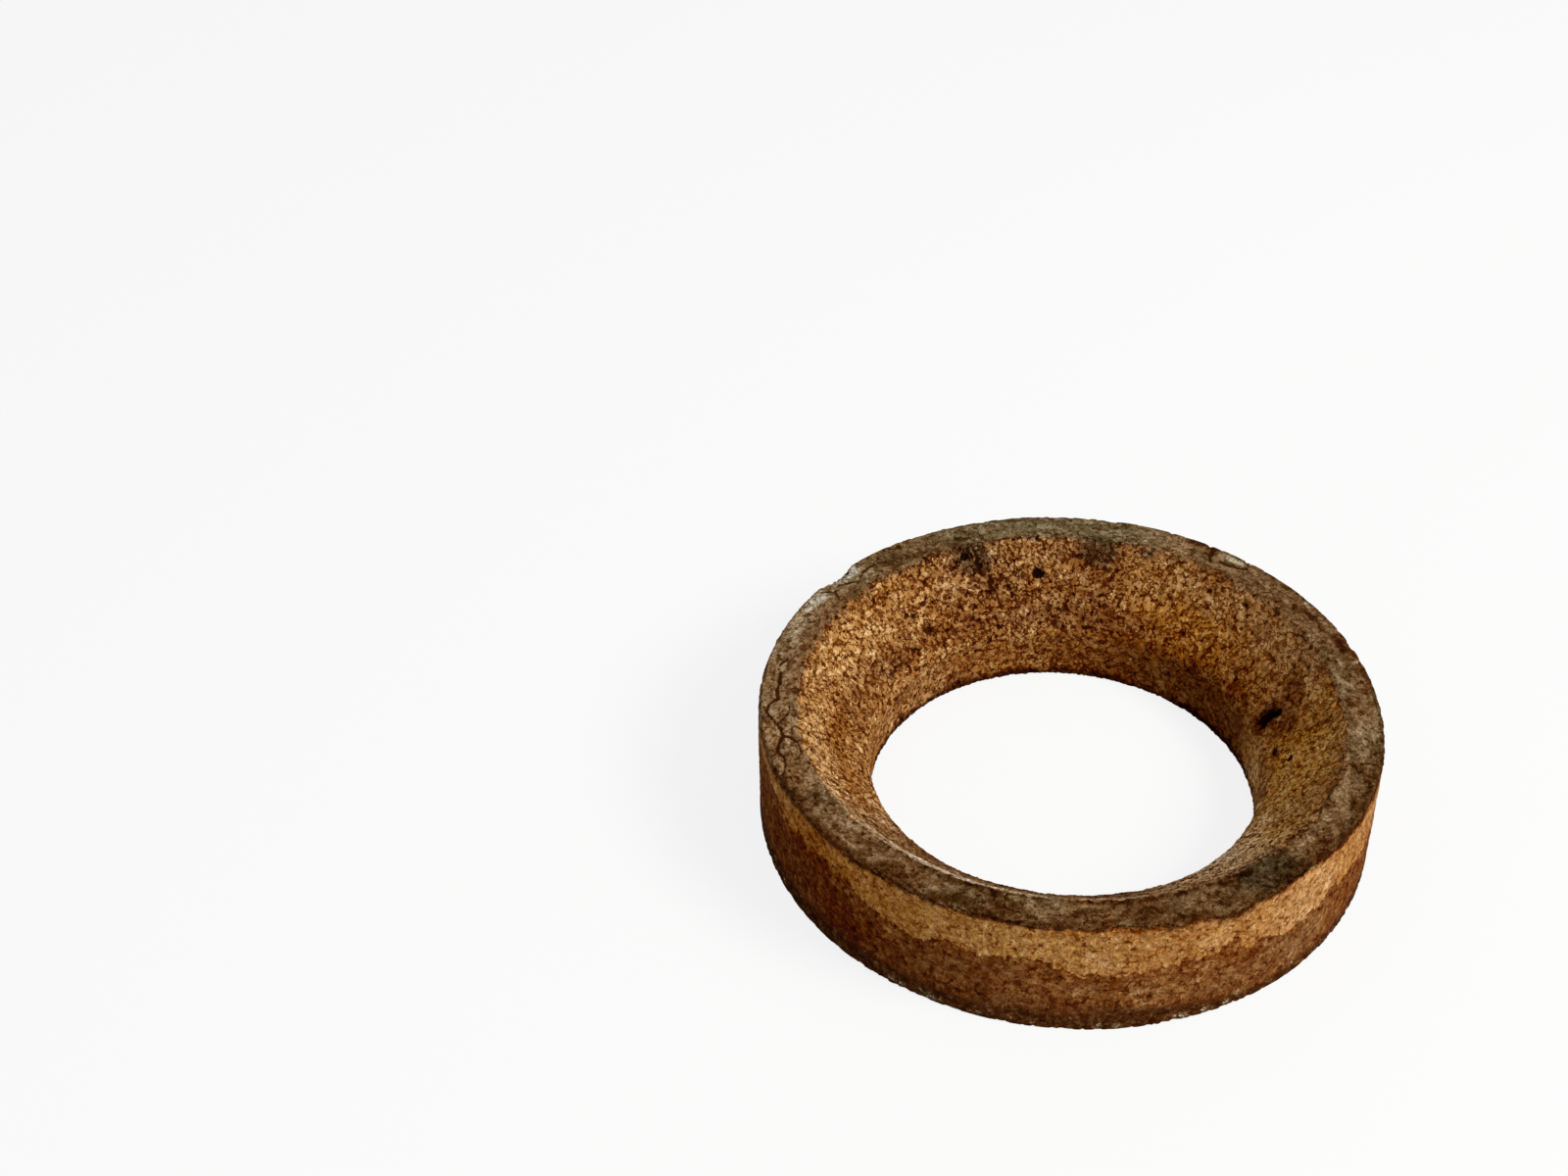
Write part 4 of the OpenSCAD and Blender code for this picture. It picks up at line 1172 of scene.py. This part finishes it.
def toneRamp(tree, tone, stops):
    # colours by tone, which counts in stops: 0 is white, each -1 half as light
    lowest = stops[0][0]
    made = addNode(tree, "ShaderNodeValToRGB")
    feed(tree, made.inputs["Fac"], calc(tree, "MULTIPLY_ADD", tone, -1 / lowest, 1.0))
    elements = made.color_ramp.elements
    while len(elements) < len(stops):
        elements.new(0.5)
    for element, (at, green, blue) in zip(elements, stops):
        element.position = 1 - at / lowest
        red = 2.0 ** at
        element.color = (red, red * green, red * blue, 1)
    return made.outputs["Color"]


def toneGroup():
    # a tone and how sooty it is, into a colour
    tree, given, out = newGroup(
        "corkTone",
        [("Tone", "value", -2.0), ("Soot", "value", 0.0), ("Veil", "value", 0.0)],
        [("Colour", "colour")],
    )
    clean = toneRamp(tree, given["Tone"], corkLook["cleanTones"])
    sooty = toneRamp(tree, given["Tone"], corkLook["sootyTones"])
    mixed = blend(tree, given["Soot"], clean, sooty, "RGBA")
    mixed = vectorCalc(tree, "MAXIMUM", mixed, (0.001, 0.001, 0.001))
    feed(tree, out["Colour"], scaled(tree, mixed, calc(tree, "POWER", 0.5, given["Veil"])))
    return tree


corkLook = {
    # tone in stops, then green and blue as shares of red
    "cleanTones": [(-6, 0.12, 0.02), (-4.6, 0.1, 0.01), (-3.6, 0.145, 0.01), (-2.8, 0.24, 0.02),
                   (-2, 0.352, 0.066), (-1.4, 0.446, 0.116), (-0.8, 0.53, 0.176), (0, 0.68, 0.34)],
    "sootyTones": [(-6, 0.22, 0.02), (-4.6, 0.28, 0.02), (-3.6, 0.42, 0.09), (-2.8, 0.53, 0.195),
                   (-2, 0.61, 0.28), (-1.4, 0.675, 0.37), (-0.8, 0.76, 0.52), (0, 0.87, 0.72)],
    # each surface's tone, and what the granules' own shade, joints, holes and chips add to it, in stops
    "seat": {"tone": 0.5, "shade": 0.7, "joint": -1.55, "hole": -1.7, "chip": 0.5},
    "band": {"tone": -1.4, "joint": -0.6, "hole": -1.0},
    "skin": {"tone": -2.47, "shade": 0.4, "joint": -0.7, "hole": -1.2, "chip": 0.15},
    "foot": {"tone": -4.2, "shade": 1.0, "chip": 1.0},
    "rim": {"tone": -1.92, "shade": 0.4, "joint": -0.75, "hole": -1.2, "chip": 0.25},
    # the tone of the near side's pale inner edge: dust and a painted sheen
    "lip": {"tone": -0.5, "shade": 0.5},
    "seatTone": -1.7,  # added to the seat's own, which the contrast multiplies
    "crackTone": -5.1,
    "pitTone": -6.0,
    "cutJoints": 0.16,  # millimetres, the joints of the cut seat and hole
    "cutOpen": 0.45,  # how many of them stand open
    "wallJoints": 0.1,
    "wallOpen": 0.5,
    "bump": 0.8,
    "bumpDepth": 0.0004,  # metres
    "roughness": 0.92,
    "specular": 0.02,
}


def paintCork(material, look):
    tree = material.node_tree
    principled = tree.nodes["Principled BSDF"]

    def painted(name, output="Fac"):
        return addNode(tree, "ShaderNodeAttribute", attribute_name=name).outputs[output]

    def granulesIn(name):
        # a surface's own tone, and what the cut granules add to it
        added = dict(look[name])
        return [added.pop("tone")] + [(bare[part.capitalize()], stops) for part, stops in added.items()]

    place = painted("restPlace", "Vector")
    wallShare = painted("wallShare")
    granules = granuleGroup()
    bare = useGroup(
        tree, granules, {"Place": place, "Joint Width": look["cutJoints"], "Open Share": look["cutOpen"]}
    )
    fine = bare["Fine"]
    medium = noise(tree, place, 1.4, 3.0, 0.6)
    coarse = noise(tree, place, 4.6, 3.0, 0.6)
    uneven = fade(tree, medium, 0.62, 0.36, 0.75, 1.25)

    # seat and hole: cut granules, their contrast different from side to side
    rough = noise(tree, place, 1.4, 5.0, 0.72)
    seatGrain = total(tree, *granulesIn("seat"), spread(tree, rough, 0.55), spread(tree, coarse, 0.8))
    seatTone = total(tree, look["seatTone"], (seatGrain, painted("contrast")))

    # outer wall: a rubbed band above the old skin, its granules larger and upright
    upright = vectorCalc(tree, "MULTIPLY", place, (0.7, 0.7, 0.45))
    wall = useGroup(
        tree, granules, {"Place": upright, "Joint Width": look["wallJoints"], "Open Share": look["wallOpen"]}
    )
    specks = fade(tree, noise(tree, place, 0.8, 2.0, 0.6), 0.6, 0.7)
    wallGrain = total(
        tree, (wall["Shade"], 0.25), (bare["Shade"], 0.35), spread(tree, medium, 0.8),
        spread(tree, coarse, 0.5), (specks, -0.55), 0.1,
    )
    bandTone = total(tree, *granulesIn("band"), wallGrain, (wall["Joint"], -0.1), (wall["Chip"], 0.3))
    skinTone = total(tree, *granulesIn("skin"), (wallGrain, 1.35))
    ragged = total(tree, painted("skinLine"), wall["Lobe"], spread(tree, fine, 0.5))
    rubbed = fade(tree, ragged, 0.1, 0.42)
    outside = blend(tree, rubbed, skinTone, bandTone)
    shadowLine = fade(tree, gapTo(tree, ragged, 0.1), 0.5, 0.0)
    outside = total(tree, outside, (shadowLine, -0.55))
    # the dirty foot, with a few pale granules
    soiled = total(tree, painted("footLine"), spread(tree, fine, 2.0), spread(tree, medium, 2.4))
    soiled = fade(tree, soiled, -1.2, 1.2)
    pallid = times(tree, fade(tree, noise(tree, place, 0.9, 1.0), 0.62, 0.7), fade(tree, coarse, 0.5, 0.62))
    footTone = total(tree, *granulesIn("foot"), spread(tree, medium, 2.4), (pallid, 2.2))
    outside = blend(tree, soiled, outside, footTone)
    tone = blend(tree, wallShare, seatTone, outside)

    # the rim's dirty skin, its crust crazed into small plates
    ringwise = painted("ringPlace", "Vector")
    crustShare = painted("crust")
    mottle = noise(tree, ringwise, 3.4, 3.0, 0.6)
    crust = total(tree, noise(tree, ringwise, 1.7, 5.0, 0.68), (crustShare, 0.2))
    flake = fade(tree, crust, 0.5, 0.545)
    flakeShadow = fade(tree, gapTo(tree, crust, 0.49), 0.022, 0.0)
    plateSize = 2.5
    plates = times(tree, cells(tree, wander(tree, place, 0.9), plateSize, "DISTANCE_TO_EDGE"), plateSize)
    crackle = times(
        tree, fade(tree, plates, 0.16, 0.03), fade(tree, noise(tree, place, 3.0, 2.0), 0.47, 0.58),
        fade(tree, crustShare, -0.1, 0.25, 0.25, 1.0),
    )
    dots = fade(tree, noise(tree, place, 1.1, 3.0, 0.6), 0.62, 0.68)
    rimTone = total(
        tree, *granulesIn("rim"), fade(tree, mottle, 0.56, 0.3, 0.0, -1.05),
        fade(tree, medium, 0.52, 0.3, 0.0, -0.5), (flake, 0.3), (flakeShadow, -0.9),
        (dots, -1.2), (crackle, -0.9),
    )
    rimSoft = painted("rimSoft")
    ragged = total(tree, painted("rimLine"), spread(tree, fine, 0.5), (wall["Lobe"], 0.8))
    rimEdge = fade(tree, ragged, 0.0, rimSoft)
    # dirt and a painted shadow on the cork just outside the rim's skin, with a painted shadow line along the
    # skin's edge
    crisp = fade(tree, rimSoft, 1.5, 0.7)
    blotches = fade(tree, noise(tree, place, 2.6, 3.0, 0.6), 0.4, 0.6, 0.3, 1.5)
    reach = fade(tree, calc(tree, "DIVIDE", ragged, blotches), -1.9, -0.1)
    fringeDirtAndShadow = times(tree, reach, painted("fringeDirtAndShadow"), calc(tree, "MULTIPLY_ADD", crisp, 0.8, 0.2))
    # a painted shadow line along the ragged edge of the rim's skin
    rimEdgeShadowLine = fade(tree, calc(tree, "ABSOLUTE", ragged), 0.4, 0.05, 0.0, 0.8)
    spiltDirtAndShadow = total(tree, fringeDirtAndShadow, (rimEdgeShadowLine, crisp, blotches))
    tone = calc(tree, "SUBTRACT", tone, spiltDirtAndShadow)
    tone = blend(tree, rimEdge, tone, rimTone)
    skin = times(tree, wallShare, calc(tree, "MULTIPLY_ADD", rubbed, -0.1, 0.07))
    soot = total(
        tree, rimEdge, painted("hue"), (wallShare, soiled, 0.55), skin,
        (spiltDirtAndShadow, calc(tree, "SUBTRACT", 1.0, rimEdge), 0.5),
        spread(tree, coarse, 0.12), spread(tree, noise(tree, place, 2.2, 2.0), 0.22),
    )

    # stains, dust, cracks and pits, with the patches' painted light and the inner edge's painted sheen
    tone = total(tree, tone, (painted("shade"), uneven))
    # the near side's pale inner edge: dust and a painted sheen, broken up by the granules
    dustAndSheenBreakup = times(
        tree, fade(tree, fine, 0.3, 0.55, 0.35, 1.0), fade(tree, medium, 0.36, 0.54, 0.35, 1.1)
    )
    lipDustAndSheen = calc(tree, "MINIMUM", times(tree, painted("lipDustAndSheen"), dustAndSheenBreakup), 1.0)
    tone = blend(tree, lipDustAndSheen, tone, total(tree, *granulesIn("lip")))
    soot = blend(tree, lipDustAndSheen, soot, 1.15)
    lower = total(tree, (wallShare, soiled, 2.0), 1.0)  # dust shows more on the dark foot
    dust = times(tree, painted("pale"), fade(tree, fine, 0.36, 0.6), lower)
    cracked = fade(tree, total(tree, painted("crackLine"), spread(tree, fine, 0.3)), 0.14, -0.12)
    pitted = fade(tree, total(tree, painted("pitLine"), spread(tree, fine, 0.6)), 0.18, -0.16)
    pitted = times(tree, pitted, painted("pitDark"))
    tone = total(tree, tone, (dust, 1.1))
    crackTone = total(tree, spread(tree, medium, 1.2), look["crackTone"])
    tone = blend(tree, times(tree, cracked, 0.85), tone, crackTone)
    tone = blend(tree, pitted, tone, look["pitTone"])
    soot = total(tree, soot, (dust, 0.5), (cracked, 0.25), (pitted, 0.5))
    veil = times(tree, painted("veil"), uneven)
    colour = useGroup(tree, toneGroup(), {"Tone": tone, "Soot": soot, "Veil": veil})["Colour"]
    tree.links.new(colour, principled.inputs["Base Color"])

    # relief finer than the mesh
    bump = addNode(tree, "ShaderNodeBump")
    bump.inputs["Strength"].default_value = look["bump"]
    bump.inputs["Distance"].default_value = look["bumpDepth"]
    cut = total(tree, bare["Height"], (bare["Joint"], -0.3), (bare["Hole"], -0.8))
    worn = total(tree, (bare["Height"], 0.3), (wall["Height"], 0.5), (medium, 0.6), (wall["Hole"], -0.5))
    smoothed = calc(tree, "MAXIMUM", wallShare, rimEdge)
    tree.links.new(blend(tree, smoothed, cut, worn), bump.inputs["Height"])
    tree.links.new(bump.outputs["Normal"], principled.inputs["Normal"])
    principled.inputs["Roughness"].default_value = look["roughness"]
    principled.inputs["Specular IOR Level"].default_value = look["specular"]


paintCork(cork, corkLook)
print("cork painted")

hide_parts("cork_ring")
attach(ring, "root")
